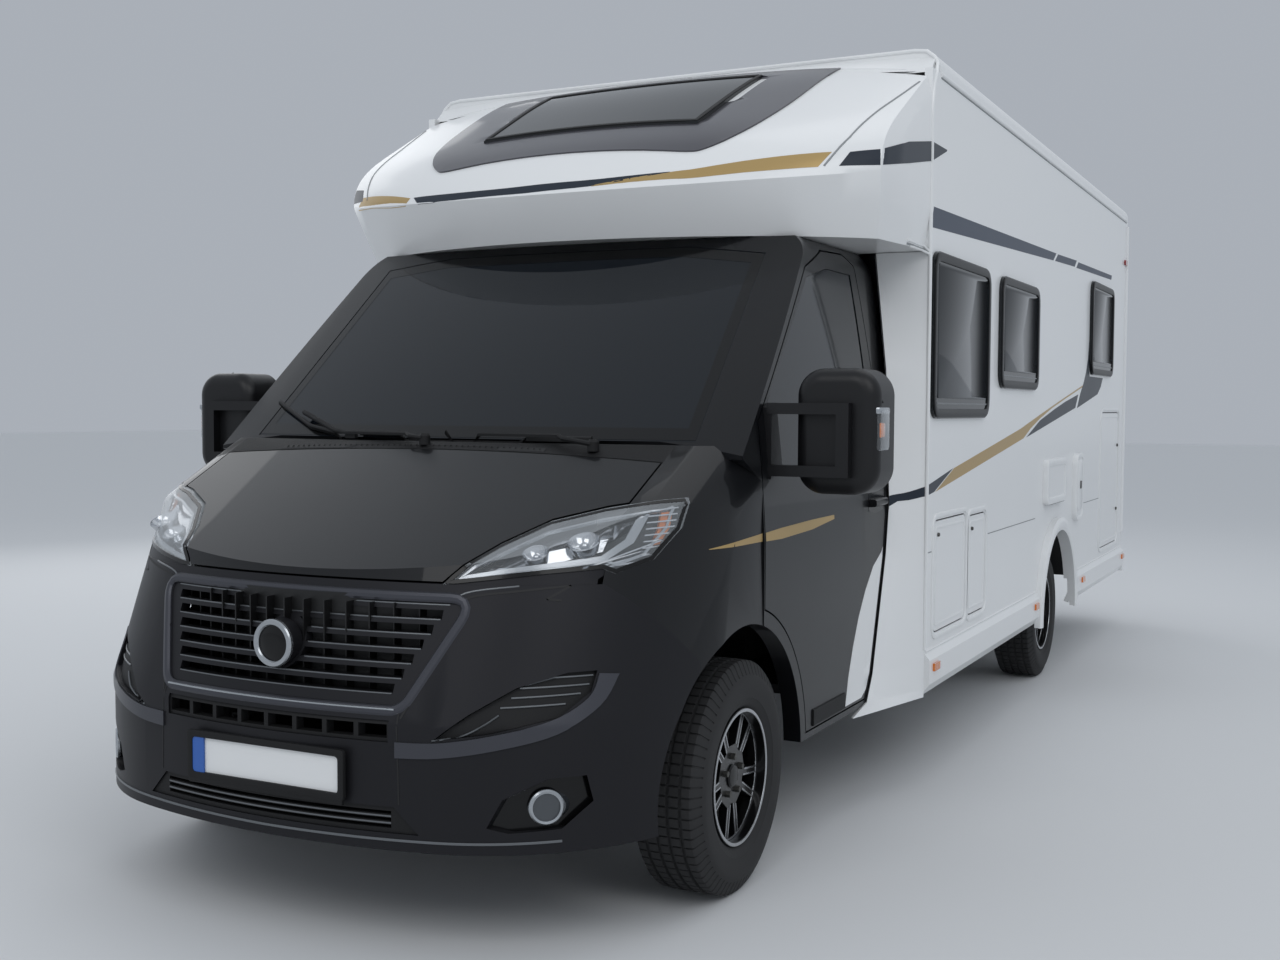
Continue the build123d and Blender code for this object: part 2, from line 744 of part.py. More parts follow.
def mouth(points, front, back, gap=0):
    """An opening in the nose, given by its left half."""
    with BuildPart() as block:
        with BuildSketch(Plane.YZ.offset(at(back))):
            with BuildLine():
                Polyline(points)
                mirror(about=Plane.YZ)
            make_face()
            if gap:
                offset(amount=-gap, kind=Kind.INTERSECTION, mode=Mode.REPLACE)
        extrude(amount=back - front)
    return block.part


def side_pocket(points, gap):
    """A pair of openings at the bumper's corners, drawn in front view on the left."""
    with BuildPart() as pocket:
        with BuildSketch(Plane.YZ.offset(at(420))):
            with BuildLine():
                Polyline(points, close=True)
            make_face()
            if gap:
                offset(amount=-gap, kind=Kind.INTERSECTION, mode=Mode.REPLACE)
        extrude(amount=470)
    return both_sides(pocket.part)


with BuildPart() as front_plate:
    with BuildSketch(Plane.YZ.offset(at(0))):
        with Locations((0, 482)):
            Rectangle(PLATE_WIDTH, PLATE_HEIGHT)
    extrude(amount=-6)

with BuildPart() as front_bumper:
    add(nose_skin.part)
    add(bumper_zone, mode=Mode.INTERSECT)
    add(bonnet_zone, mode=Mode.SUBTRACT)
    add(headlamp_prism(0), mode=Mode.SUBTRACT)
    add(arch_cylinder(FRONT_ARCH_RADIUS), mode=Mode.SUBTRACT)
    for points in (GRILLE_MOUTH, LOWER_MOUTH, INTAKE_MOUTH):
        add(mouth(points, -50, 330), mode=Mode.SUBTRACT)
    for points in (SCOOP, FOG_POCKET):
        add(side_pocket(points, 0), mode=Mode.SUBTRACT)
    add(front_plate.part, mode=Mode.SUBTRACT)
save(front_bumper.part, "front_bumper")

# Lamp pods set back in their scoops, each with a round lens
with BuildPart() as fog_lamps:
    add(nose_form(22, 0))
    add(nose_form(40, 200), mode=Mode.SUBTRACT)
    add(side_pocket(FOG_POCKET, 0.5), mode=Mode.INTERSECT)
with BuildPart() as fog_lens:
    add(nose_form(8, 0))
    add(nose_form(36, 200), mode=Mode.SUBTRACT)
    with BuildSketch(Plane.YZ.offset(at(420))):
        with Locations(FOG_LAMP, (-FOG_LAMP[0], FOG_LAMP[1])):
            Circle(FOG_LENS_RADIUS)
    extrude(amount=470, mode=Mode.INTERSECT)

# Grille: a frame with crossbars, an upright for the badge ring, and the lower grids
GRILLE_BARS = 6
RING_SEAT = 82
LOWER_RIBS = 8
grille_band = nose_form(6, 0)
with BuildPart() as grille:
    add(grille_band)
    add(nose_form(42, 200), mode=Mode.SUBTRACT)
    add(mouth(GRILLE_MOUTH, -50, 330, 0.5), mode=Mode.INTERSECT)
    with BuildSketch(Plane.YZ.offset(at(330))):
        for row in range(GRILLE_BARS):
            height = 690 + row * 38
            with Locations((0, height + 19)):
                Rectangle(2 * (375 + row * 18), 24)
        with Locations((0, 806)):
            Circle(74, mode=Mode.SUBTRACT)
    extrude(amount=400, mode=Mode.SUBTRACT)
    with BuildSketch(Plane.YZ.offset(at(RING_SEAT))):
        with Locations((0, 806)):
            Circle(66)
    extrude(amount=200, mode=Mode.SUBTRACT)

with BuildPart() as lower_grille:
    add(grille_band)
    add(nose_form(36, 200), mode=Mode.SUBTRACT)
    add(mouth(LOWER_MOUTH, -50, 330, 0.5), mode=Mode.INTERSECT)
    with BuildSketch(Plane.YZ.offset(at(330))):
        with GridLocations(770 / LOWER_RIBS, 0, LOWER_RIBS, 1):
            with Locations((0, 603)):
                Rectangle(770 / LOWER_RIBS - 14, 36)
    extrude(amount=400, mode=Mode.SUBTRACT)

with BuildPart() as intake_grille:
    add(grille_band)
    add(nose_form(36, 200), mode=Mode.SUBTRACT)
    add(mouth(INTAKE_MOUTH, -50, 330, 0.5), mode=Mode.INTERSECT)
    with BuildSketch(Plane.YZ.offset(at(330))):
        for height in (352, 370, 388):
            with Locations((0, height)):
                Rectangle(780, 9)
    extrude(amount=400, mode=Mode.SUBTRACT)
with BuildPart() as scoop_grille:
    add(nose_form(14, 0))
    add(nose_form(40, 200), mode=Mode.SUBTRACT)
    add(side_pocket(SCOOP, 0.5), mode=Mode.INTERSECT)
with BuildPart() as lower_grilles:
    add(lower_grille.part)
    add(intake_grille.part)
    add(scoop_grille.part)
    add(front_plate.part, mode=Mode.SUBTRACT)
save(lower_grilles.part, "lower_grilles")

with BuildPart() as grille_ring:
    with BuildSketch(Plane.YZ.offset(at(RING_SEAT))):
        with Locations((0, 806)):
            Circle(65)
    extrude(amount=42)
with BuildPart() as grille_with_ring:
    add(grille.part)
    add(grille_ring.part)
save(grille_with_ring.part, "grille")

with BuildPart() as front_wing:
    add(nose_skin.part)
    add(wing_zone, mode=Mode.INTERSECT)
    add(left_half, mode=Mode.INTERSECT)
    add(bonnet_zone, mode=Mode.SUBTRACT)
    add(bumper_zone, mode=Mode.SUBTRACT)
    add(scuttle_zone, mode=Mode.SUBTRACT)
    add(headlamp_prism(0), mode=Mode.SUBTRACT)
    add(arch_cylinder(FRONT_ARCH_RADIUS), mode=Mode.SUBTRACT)
save(both_sides(front_wing.part), "front_wings")

with BuildPart() as scuttle_panel:
    add(nose_skin.part)
    add(scuttle_zone, mode=Mode.INTERSECT)
save(scuttle_panel.part, "scuttle_panel")

with BuildPart() as headlamps:
    add(lamp_skin.part)
    add(headlamp_prism(0), mode=Mode.INTERSECT)
with BuildPart() as front_lamps:
    add(headlamps.part)
    add(fog_lamps.part)
    add(fog_lens.part)
save(front_lamps.part, "front_lamps")

with BuildPart() as windscreen:
    add(glass_skin.part)
    add(screen_prism(0.5), mode=Mode.INTERSECT)
save(windscreen.part, "windscreen")

with BuildPart() as door_opening:
    add(door_prism(0))
    add(side_zone(DOOR_INNER_EDGE, 0), mode=Mode.INTERSECT)

with BuildPart() as cab_shell_half:
    add(cabin_skin.part)
    add(left_half, mode=Mode.INTERSECT)
    add(nose_zone, mode=Mode.SUBTRACT)
    add(side_prism([(800, 1000), (985, 1000), (985, SCUTTLE_HEIGHT), (800, SCUTTLE_HEIGHT)],
                   -BONNET_HALF_WIDTH, BONNET_HALF_WIDTH), mode=Mode.SUBTRACT)
    add(screen_prism(0), mode=Mode.SUBTRACT)
    add(door_opening.part, mode=Mode.SUBTRACT)
    add(arch_cylinder(FRONT_ARCH_RADIUS), mode=Mode.SUBTRACT)
    add(top_prism(CAB_HATCH, 1900, 2200), mode=Mode.SUBTRACT)
cab_shell = both_sides(cab_shell_half.part)
save(cab_shell, "cab_shell")

with BuildPart() as cab_door:
    add(side_shell(0, CAB_SKIN))
    add(door_prism(SEAM), mode=Mode.INTERSECT)
    add(side_zone(DOOR_INNER_EDGE, SEAM), mode=Mode.INTERSECT)
    add(door_glass_prism(0), mode=Mode.SUBTRACT)
with BuildPart() as cab_glass:
    add(side_shell(GLASS_RECESS, GLASS_THICKNESS))
    add(door_glass_prism(2), mode=Mode.INTERSECT)
save(cab_door.part, "cab_door_left")
save(mirrored(cab_door.part), "cab_door_right")
save(cab_glass.part, "cab_glass_left")
save(mirrored(cab_glass.part), "cab_glass_right")

# Door mirrors: a foot on the door, a C-shaped frame and a domed housing behind it
MIRROR_ARM_TOP = 1452
MIRROR_ARM_LOW = 1262
MIRROR_FRAME_SETBACK = 1142
with BuildPart() as mirror_housing:
    with BuildSketch(Plane.YZ.offset(at(1322))):
        with Locations((1213, 1383)):
            RectangleRounded(264, 384, 84)
    extrude(amount=172)
    fillet(mirror_housing.faces().sort_by(Axis.X)[-1].edges(), radius=46)
with BuildPart() as door_mirror:
    with BuildSketch(Plane.XZ.offset(-985)):
        with BuildLine():
            Polyline((at(1120), 1235), (at(1120), 1455), (at(1160), 1470), (at(1220), 1260),
                     close=True)
        make_face()
    extrude(amount=-35)
    for height in (MIRROR_ARM_TOP, MIRROR_ARM_LOW):
        with BuildSketch(Plane.XZ.offset(-1005)):
            with Locations((at(MIRROR_FRAME_SETBACK), height)):
                Rectangle(54, 34)
        extrude(amount=-262)
    with BuildSketch(Plane.XZ.offset(-1227)):
        with Locations((at(MIRROR_FRAME_SETBACK), (MIRROR_ARM_TOP + MIRROR_ARM_LOW) / 2)):
            Rectangle(54, MIRROR_ARM_TOP - MIRROR_ARM_LOW)
    extrude(amount=-40)
    add(mirror_housing.part)
    add(cabin_form(0, 0), mode=Mode.SUBTRACT)
save(door_mirror.part, "mirror_left")
save(mirrored(door_mirror.part), "mirror_right")

# Cab floor, bulkhead, dashboard, seats and steering wheel
BULKHEAD = 1022
with BuildPart() as cab_floor:
    with BuildSketch(Plane.XY.offset(RAIL_TOP)):
        with Locations((at((BULKHEAD + BODY_START) / 2), 0)):
            Rectangle(BODY_START - BULKHEAD, 1140)
        with Locations((at((1430 + BODY_START) / 2), 0)):
            Rectangle(BODY_START - 1430, 1900)
    extrude(amount=30)
    with BuildSketch(Plane.YZ.offset(at(BULKHEAD + 12))):
        with BuildLine():
            Polyline((-570, RAIL_TOP), (570, RAIL_TOP), (570, 850), (930, 850), (930, 1230),
                     (-930, 1230), (-930, 850), (-570, 850), close=True)
        make_face()
    extrude(amount=12)
save(cab_floor.part, "cab_floor")

DASHBOARD = [(BULKHEAD + 12, 860), (1180, 830), (1330, 980), (1350, 1120), (1240, 1225),
             (1130, 1275), (BULKHEAD + 12, 1275)]
dashboard = side_prism(DASHBOARD, -900, 900)
save(dashboard, "dashboard")

SEAT_Y = 430
SEAT_SETBACK = 1700


def seat(y):
    """One captain's seat on its pedestal."""
    with BuildPart() as chair:
        with BuildSketch(Plane.XZ.offset(-(y - 240))):
            with Locations((at(SEAT_SETBACK + 250), 870)):
                RectangleRounded(520, 140, 50)
            with BuildLine():
                Polyline((at(SEAT_SETBACK + 430), 880), (at(SEAT_SETBACK + 590), 1500),
                         (at(SEAT_SETBACK + 690), 1500), (at(SEAT_SETBACK + 560), 850),
                         close=True)
            make_face()
            with Locations((at(SEAT_SETBACK + 655), 1580)):
                RectangleRounded(110, 200, 40)
            with Locations((at(SEAT_SETBACK + 250), 675)):
                Rectangle(360, 270)
        extrude(amount=-480)
    return chair.part


save(both_sides(seat(SEAT_Y)), "cab_seats")

WHEEL_TILT = 62
steering_plane = Plane(
    origin=(at(1450), SEAT_Y, 1110),
    x_dir=(0, 1, 0),
    z_dir=(-cos(radians(WHEEL_TILT)), 0, sin(radians(WHEEL_TILT))),
)
with BuildPart() as steering_wheel:
    with BuildSketch(steering_plane):
        Circle(190)
        Circle(164, mode=Mode.SUBTRACT)
        Rectangle(340, 60)
        with Locations((0, 85)):
            Rectangle(60, 160)
        Circle(62)
    extrude(amount=13, both=True)
    with BuildSketch(steering_plane.offset(-220)):
        Circle(32)
    extrude(amount=215)
    add(dashboard, mode=Mode.SUBTRACT)
save(steering_wheel.part, "steering_wheel")

# Chassis rails, cross members, tanks and exhaust
with BuildPart() as rail:
    with BuildSketch(Plane.YZ.offset(at(7200))):
        with Locations((RAIL_Y, RAIL_TOP - RAIL_DEPTH / 2)):
            Rectangle(RAIL_WIDTH, RAIL_DEPTH)
        with Locations((RAIL_Y - 6, RAIL_TOP - RAIL_DEPTH / 2)):
            Rectangle(RAIL_WIDTH, RAIL_DEPTH - 12, mode=Mode.SUBTRACT)
    extrude(amount=7200 - 360)
    with BuildSketch(Plane.XZ.offset(-(RAIL_Y - RAIL_WIDTH))):
        with Locations((at(TOW_BOLT_SETBACK), RAIL_TOP - RAIL_DEPTH / 2)):
            with GridLocations(TOW_BOLT_SPACING_X, TOW_BOLT_SPACING_Z, 2, 2):
                Circle(TOW_BOLT_RADIUS)
    extrude(amount=-2 * RAIL_WIDTH, mode=Mode.SUBTRACT)
save(both_sides(rail.part), "chassis_rails")

CROSS_MEMBERS = (390, 2300, 3300, 4300, 5500, 6700)
with BuildPart() as cross_members:
    for setback in CROSS_MEMBERS:
        with Locations((at(setback), 0, RAIL_TOP - 75)):
            Box(60, 2 * (RAIL_Y + RAIL_WIDTH / 2 - 6), 70)
save(cross_members.part, "cross_members")

with BuildPart() as engine_block:
    with Locations((at(692), 0, 660)):
        Box(530, 700, 520)
save(engine_block.part, "engine_block")

with BuildPart() as fuel_tank:
    with BuildSketch(Plane.YZ.offset(at(3450))):
        with Locations((680, 390)):
            RectangleRounded(400, 240, 50)
    extrude(amount=850)

with BuildPart() as waste_tank:
    with BuildSketch(Plane.YZ.offset(at(6500))):
        with Locations((0, 400)):
            RectangleRounded(700, 160, 40)
    extrude(amount=800)
    with Locations((at(6100), 0, 495)):
        Box(600, 500, 30)
with BuildPart() as tanks:
    add(fuel_tank.part)
    add(waste_tank.part)
save(tanks.part, "underfloor_tanks")

with BuildPart() as exhaust:
    with BuildSketch(Plane.YZ.offset(at(3300))):
        with Locations((-620, 380)):
            Circle(90)
    extrude(amount=600)
    with BuildSketch(Plane.YZ.offset(at(4350))):
        with Locations((-620, 380)):
            Circle(28)
    extrude(amount=4350 - 1450)
    for setback in (2100, 3700, 4200):
        with Locations((at(setback), -620, 455)):
            Box(30, 30, 110)
save(exhaust.part, "exhaust")

# Front suspension, with a kingpin that the knuckle turns on
HUB_Z = TYRE_RADIUS
with BuildPart() as front_axle:
    with Locations((FRONT_AXLE_X, 0, 305)):
        Box(320, 1000, 80)
    for side in (1, -1):
        with Locations((FRONT_AXLE_X, side * 640, 250)):
            Box(110, 330, 30)
        with BuildSketch(Plane.XY.offset(235)):
            with Locations((FRONT_AXLE_X, side * KINGPIN_Y)):
                Circle(34)
        extrude(amount=30)
        with BuildSketch(Plane.XY.offset(235)):
            with Locations((FRONT_AXLE_X, side * KINGPIN_Y)):
                Circle(KINGPIN_RADIUS)
        extrude(amount=265)

STRUT_LEAN = 85
strut_plane = Plane(
    origin=(FRONT_AXLE_X, KINGPIN_Y, 480),
    x_dir=(1, 0, 0),
    z_dir=(0, -STRUT_LEAN, 410),
)
with BuildPart() as strut:
    with BuildSketch(strut_plane):
        Circle(20)
    extrude(amount=440)
    with BuildSketch(strut_plane.offset(265)):
        Circle(55)
    extrude(amount=170)
    with Locations((FRONT_AXLE_X, KINGPIN_Y, 400)):
        Box(200, 200, 200, mode=Mode.SUBTRACT)
with BuildPart() as front_suspension:
    add(front_axle.part)
    add(both_sides(strut.part))
save(front_suspension.part, "front_suspension")

with BuildPart() as knuckle:
    with BuildSketch(Plane.XY.offset(272)):
        with Locations((FRONT_AXLE_X, KINGPIN_Y)):
            Circle(34)
    extrude(amount=218)
    with BuildSketch(Plane.XZ.offset(-KINGPIN_Y)):
        with Locations((FRONT_AXLE_X, HUB_Z)):
            Circle(HUB_RADIUS)
    extrude(amount=-190)
    with BuildSketch(Plane.XZ.offset(-KINGPIN_Y)):
        with Locations((FRONT_AXLE_X, HUB_Z)):
            Circle(60)
    extrude(amount=-70)
    with BuildSketch(Plane.XY.offset(200)):
        with Locations((FRONT_AXLE_X, KINGPIN_Y)):
            Circle(KINGPIN_RADIUS + HUB_PLAY)
    extrude(amount=500, mode=Mode.SUBTRACT)
save(knuckle.part, "knuckle_left")
save(mirrored(knuckle.part), "knuckle_right")

with BuildPart() as front_liner:
    with BuildSketch(Plane.XZ.offset(-572)):
        with Locations((at(FRONT_ARCH_SETBACK), TYRE_RADIUS)):
            Circle(FRONT_ARCH_RADIUS + 9)
        with Locations((at(FRONT_ARCH_SETBACK), TYRE_RADIUS - 1000)):
            Rectangle(2000, 2000, mode=Mode.SUBTRACT)
    extrude(amount=-378)
    with BuildSketch(Plane.XZ.offset(-580)):
        with Locations((at(FRONT_ARCH_SETBACK), TYRE_RADIUS)):
            Circle(FRONT_ARCH_RADIUS)
    extrude(amount=-400, mode=Mode.SUBTRACT)
    with BuildSketch(Plane.XY.offset(750)):
        with Locations((FRONT_AXLE_X, 690)):
            Rectangle(160, 190)
    extrude(amount=100, mode=Mode.SUBTRACT)
    add(nose_skin.part, mode=Mode.SUBTRACT)
    add(cabin_skin.part, mode=Mode.SUBTRACT)
liner = front_liner.solids().sort_by(SortBy.VOLUME)[-1]
with BuildPart() as wheel_housings:
    add(both_sides(liner))
    add(both_sides(wheel_box.part))
save(wheel_housings.part, "wheel_housings")

# Rear axle: a cross tube ahead of the wheels with trailing arms
REAR_HUB_INNER = REAR_TRACK / 2 - 110
with BuildPart() as rear_axle:
    with BuildSketch(Plane.XZ.offset(REAR_HUB_INNER)):
        with Locations((REAR_AXLE_X + 190, 292)):
            Circle(46)
    extrude(amount=-2 * REAR_HUB_INNER)
    for side in (1, -1):
        with BuildSketch(Plane.XZ.offset(-side * (REAR_HUB_INNER - 60))):
            with BuildLine():
                Polyline((REAR_AXLE_X + 240, 355), (REAR_AXLE_X - 40, 410),
                         (REAR_AXLE_X - 40, 290), (REAR_AXLE_X + 240, 265), close=True)
            make_face()
        extrude(amount=-side * 60)
        with BuildSketch(Plane.XZ.offset(-side * (REAR_HUB_INNER - 30))):
            with Locations((REAR_AXLE_X, HUB_Z)):
                Circle(HUB_RADIUS)
        extrude(amount=-side * 200)
        with Locations((REAR_AXLE_X + 190, side * RAIL_Y, RAIL_TOP - RAIL_DEPTH - 20)):
            Box(120, 50, 40)
save(rear_axle.part, "rear_axle")

# Wheels: a cast rim with five pairs of spokes, and a grooved tyre
SPOKE_PAIRS = 5
BARREL_WALL = 12
RIM_LIP = 8
HUB_FACE = 66


def wheel_plane(x, y):
    """Plane across a wheel's middle whose normal points along +Y."""
    return Plane(origin=(x, y, TYRE_RADIUS), x_dir=(1, 0, 0), z_dir=(0, 1, 0))


def rim(x, y):
    """Cast wheel on the left of the vehicle."""
    middle = wheel_plane(x, y)
    half = RIM_WIDTH / 2 + RIM_LIP
    with BuildPart() as casting:
        with BuildSketch(middle.offset(-half)):
            Circle(BEAD_RADIUS)
            Circle(BEAD_RADIUS - BARREL_WALL, mode=Mode.SUBTRACT)
        extrude(amount=2 * half)
        with BuildSketch(middle.offset(HUB_FACE - 26)):
            Circle(BEAD_RADIUS - 2)
            Circle(HUB_RADIUS + HUB_PLAY, mode=Mode.SUBTRACT)
            with PolarLocations(0, SPOKE_PAIRS, start_angle=90):
                Polygon((84, -8), (186, -26), (186, 26), (84, 8), align=None,
                        mode=Mode.SUBTRACT)
            with PolarLocations(0, SPOKE_PAIRS, start_angle=126):
                Polygon((92, -26), (176, -66), (190, 0), (176, 66), (92, 26), align=None,
                        mode=Mode.SUBTRACT)
        extrude(amount=26)
    return casting.part


def tyre(x, y):
    """Tyre section with its bead seat, sidewalls, shoulders and tread."""
    half = TYRE_WIDTH / 2
    bore = BEAD_RADIUS + 0.4
    seat = RIM_WIDTH / 2 - 0.5
    with BuildPart() as rubber:
        with BuildSketch(Plane(origin=(x, y, TYRE_RADIUS), x_dir=(0, 1, 0), z_dir=(-1, 0, 0))):
            with BuildLine():
                Polyline(
                    (-seat, bore), (seat, bore), (half, TYRE_RADIUS - 60),
                    (half - 24, TYRE_RADIUS), (24 - half, TYRE_RADIUS),
                    (-half, TYRE_RADIUS - 60), close=True,
                )
            make_face()
        revolve(axis=Axis((x, y, TYRE_RADIUS), (0, 1, 0)))
    return rubber.part


for corner, x, track in (("front", FRONT_AXLE_X, FRONT_TRACK), ("rear", REAR_AXLE_X, REAR_TRACK)):
    left_rim = rim(x, track / 2)
    left_tyre = tyre(x, track / 2)
    save(left_rim, f"wheel_{corner}_left")
    save(left_tyre, f"tyre_{corner}_left")
    save(mirrored(left_rim), f"wheel_{corner}_right")
    save(mirrored(left_tyre), f"tyre_{corner}_right")

# Tail: bumper, lamps and plate
with BuildPart() as rear_bumper:
    with BuildSketch(Plane.XY.offset(350)):
        with BuildLine():
            Polyline((at(BODY_END), HALF_BODY + 15), (at(7360), HALF_BODY + 15),
                     (at(7400), HALF_BODY - 60), (at(7400), 60 - HALF_BODY),
                     (at(7360), -HALF_BODY - 15), (at(BODY_END), -HALF_BODY - 15),
                     (at(BODY_END), 25 - HALF_BODY), (at(7345), 25 - HALF_BODY),
                     (at(7345), HALF_BODY - 25), (at(BODY_END), HALF_BODY - 25), close=True)
        make_face()
    extrude(amount=140)
    with BuildSketch(Plane.XY.offset(490)):
        with BuildLine():
            Polyline((at(BODY_END + WALL), HALF_BODY), (at(7375), HALF_BODY - 10),
                     (at(7388), HALF_BODY - 70), (at(7388), 70 - HALF_BODY),
                     (at(7375), 10 - HALF_BODY), (at(BODY_END + WALL), -HALF_BODY), close=True)
        make_face()
    extrude(amount=130)
save(rear_bumper.part, "rear_bumper")

with BuildPart() as rear_lamp:
    with BuildSketch(Plane.YZ.offset(at(7331 + 32))):
        with Locations((1075, 850)):
            RectangleRounded(120, 420, 30)
    extrude(amount=32)

with BuildPart() as rear_plate:
    with BuildSketch(Plane.YZ.offset(at(7331 + 8))):
        with Locations((0, 760)):
            Rectangle(PLATE_WIDTH, PLATE_HEIGHT)
    extrude(amount=8)
with BuildPart() as number_plates:
    add(front_plate.part)
    add(rear_plate.part)
save(number_plates.part, "number_plates")

# Side markers: setback of each, on both skirts
MARKERS = (2486, 4395, 5729, 7250)
MARKER_FACE = HALF_BODY + SKIRT_PROUD
with BuildPart() as marker:
    for setback in MARKERS:
        with BuildSketch(Plane.XZ.offset(-MARKER_FACE)):
            with Locations((at(setback), 455)):
                Rectangle(78, 30)
        extrude(amount=-9)
save(both_sides(marker.part), "marker_lamps")

with BuildPart() as clearance:
    with BuildSketch(Plane.XZ.offset(-HALF_BODY)):
        with Locations((at(7250), 2452)):
            RectangleRounded(80, 34, 12)
    extrude(amount=-12)
with BuildPart() as red_lamps:
    add(both_sides(rear_lamp.part))
    add(both_sides(clearance.part))
save(red_lamps.part, "rear_lamps")

with BuildPart() as vent_hatches:
    with BuildSketch(Plane.XZ.offset(-HALF_BODY)):
        with Locations((at(4870), 1075)):
            RectangleRounded(500, 225, 30)
        with Locations((at(5560), 1010)):
            RectangleRounded(190, 360, 60)
    extrude(amount=-22)
save(vent_hatches.part, "vent_hatches")

# Roof lights: setback, y, length and width
ROOF_LIGHTS = ((3100, 0, 700, 500), (4700, -350, 400, 400), (6500, 0, 400, 400))
with BuildPart() as roof_lights:
    for setback, y, long, wide in ROOF_LIGHTS:
        with BuildSketch(Plane.XY.offset(ROOF_TOP)):
            with Locations((at(setback), y)):
                RectangleRounded(long, wide, 60)
        extrude(amount=28)
        with BuildSketch(Plane.XY.offset(ROOF_TOP + 28)):
            with Locations((at(setback), y)):
                RectangleRounded(long - 50, wide - 50, 50)
        extrude(amount=32)
save(roof_lights.part, "roof_lights")
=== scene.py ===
"""Looks of the low-profile motorhome: an add-on whose operators each make one group of pieces."""

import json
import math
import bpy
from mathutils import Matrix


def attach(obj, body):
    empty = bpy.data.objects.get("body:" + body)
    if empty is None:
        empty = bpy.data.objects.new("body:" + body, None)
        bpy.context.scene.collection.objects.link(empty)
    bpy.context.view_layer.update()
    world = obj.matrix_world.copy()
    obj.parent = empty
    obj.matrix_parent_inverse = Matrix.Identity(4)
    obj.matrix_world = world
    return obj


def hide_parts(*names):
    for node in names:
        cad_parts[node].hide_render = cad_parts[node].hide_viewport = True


bl_info = {
    "name": "Low-profile motorhome",
    "version": (1, 0, 0),
    "blender": (4, 5, 0),
    "location": "3D View > Sidebar > Motorhome",
    "description": "Dresses the packed motorhome with paint, glass, trim, lamps and wheels",
    "category": "Object",
}

import bmesh
import bpy
from bpy.props import FloatProperty, FloatVectorProperty, IntProperty, PointerProperty
from mathutils import Matrix, Vector
from mathutils.bvhtree import BVHTree

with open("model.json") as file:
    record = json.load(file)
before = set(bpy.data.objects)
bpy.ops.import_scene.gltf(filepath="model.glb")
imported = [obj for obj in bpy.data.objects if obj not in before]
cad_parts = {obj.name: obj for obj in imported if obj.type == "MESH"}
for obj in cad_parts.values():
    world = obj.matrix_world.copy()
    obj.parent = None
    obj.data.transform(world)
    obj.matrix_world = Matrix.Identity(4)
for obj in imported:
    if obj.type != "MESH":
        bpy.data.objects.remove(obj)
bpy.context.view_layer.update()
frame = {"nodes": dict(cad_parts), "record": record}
NODES = frame["nodes"]
BODY_OF = {
    node: body
    for body, nodes in frame["record"]["behaviour"]["bodies"].items()
    for node in nodes
}

# Places that the pieces share with the model, in metres
NOSE_X = 3.7
COACH_SIDE = 1.15
AXLES = {"front": 2.752, "rear": -1.283}
WHEEL_HEIGHT = 0.35
SIDES = ((1, "left"), (-1, "right"))
DOWN = (0, 0, -1)
AHEAD = (-1, 0, 0)


def linear(code):
    """A hex colour as linear RGBA."""
    values = [int(code[i:i + 2], 16) / 255 for i in (0, 2, 4)]
    return [v / 12.92 if v <= 0.04045 else ((v + 0.055) / 1.055) ** 2.4 for v in values] + [1.0]


def colour(name, description, code):
    """A colour that a user would change."""
    return FloatVectorProperty(name=name, description=description, subtype="COLOR", size=4,
                               min=0, max=1, default=linear(code))


class MotorhomeSettings(bpy.types.PropertyGroup):
    """Sizes and colours that a user would change."""

    cab_paint: colour("Cab paint", "Metallic black of the cab", "0e0f12")
    bumper_paint: colour("Bumper paint", "Anthracite of bumper and grille surround", "252528")
    coach_white: colour("Coach white", "White of the coach panels", "eceded")
    cap_panel: colour("Cap panel", "Dark grey panel around the skylight", "3f3e45")
    stripe_slate: colour("Slate stripe", "Dark slate of the side graphics", "2c333d")
    stripe_grey: colour("Grey stripe", "Blue grey of the upper stripe", "4a5260")
    stripe_gold: colour("Gold stripe", "Gold of the side graphics", "b79b68")
    decal_lift: FloatProperty(
        name="Film lift", description="How far a stripe stands off its panel", unit="LENGTH",
        default=0.0006, min=0.0001, max=0.002)
    tread_depth: FloatProperty(
        name="Tread depth", description="Depth of the grooves of a tyre", unit="LENGTH",
        default=0.008, min=0.001, max=0.012)
    tread_pitches: IntProperty(
        name="Tread pitches", description="Sipes around a tyre", default=72, min=12, max=120)


def settings():
    """The add-on's settings in this scene."""
    return bpy.context.scene.motorhome


def smooth_by_angle(mesh, degrees=32):
    """Smooth shading, with an edge kept sharp where its faces meet at more than an angle."""
    bm = bmesh.new()
    bm.from_mesh(mesh)
    limit = math.radians(degrees)
    for face in bm.faces:
        face.smooth = True
    for edge in bm.edges:
        edge.smooth = not (len(edge.link_faces) == 2 and edge.calc_face_angle(0) > limit)
    bm.to_mesh(mesh)
    bm.free()


def add_piece(name, bm, finishes, carrier, replaces=(), degrees=24):
    """Turns a bmesh, or several, into a finished piece that rides with a node."""
    if isinstance(bm, list):
        bm = joined(bm)
    mesh = bpy.data.meshes.new(name)
    bm.to_mesh(mesh)
    bm.free()
    smooth_by_angle(mesh, degrees)
    return finish_piece(name, mesh, finishes, carrier, replaces)


def finish_piece(name, mesh, finishes, carrier, replaces=()):
    """Paints a mesh and sets it on the body of the node that carries it."""
    if isinstance(finishes, str):
        finishes = [finishes]
        mesh.materials.clear()
    for key in finishes:
        mesh.materials.append(look(key))
    piece = bpy.data.objects.new(name, mesh)
    bpy.context.scene.collection.objects.link(piece)
    body = BODY_OF[carrier]
    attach(piece, body)
    if replaces:
        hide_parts(*replaces)
    return piece


def node_bmesh(node):
    """A node's own mesh with its loose triangles joined."""
    bm = bmesh.new()
    bm.from_mesh(NODES[node].data)
    bmesh.ops.remove_doubles(bm, verts=bm.verts, dist=0.00005)
    bmesh.ops.dissolve_degenerate(bm, edges=bm.edges, dist=0.00002)
    return bm


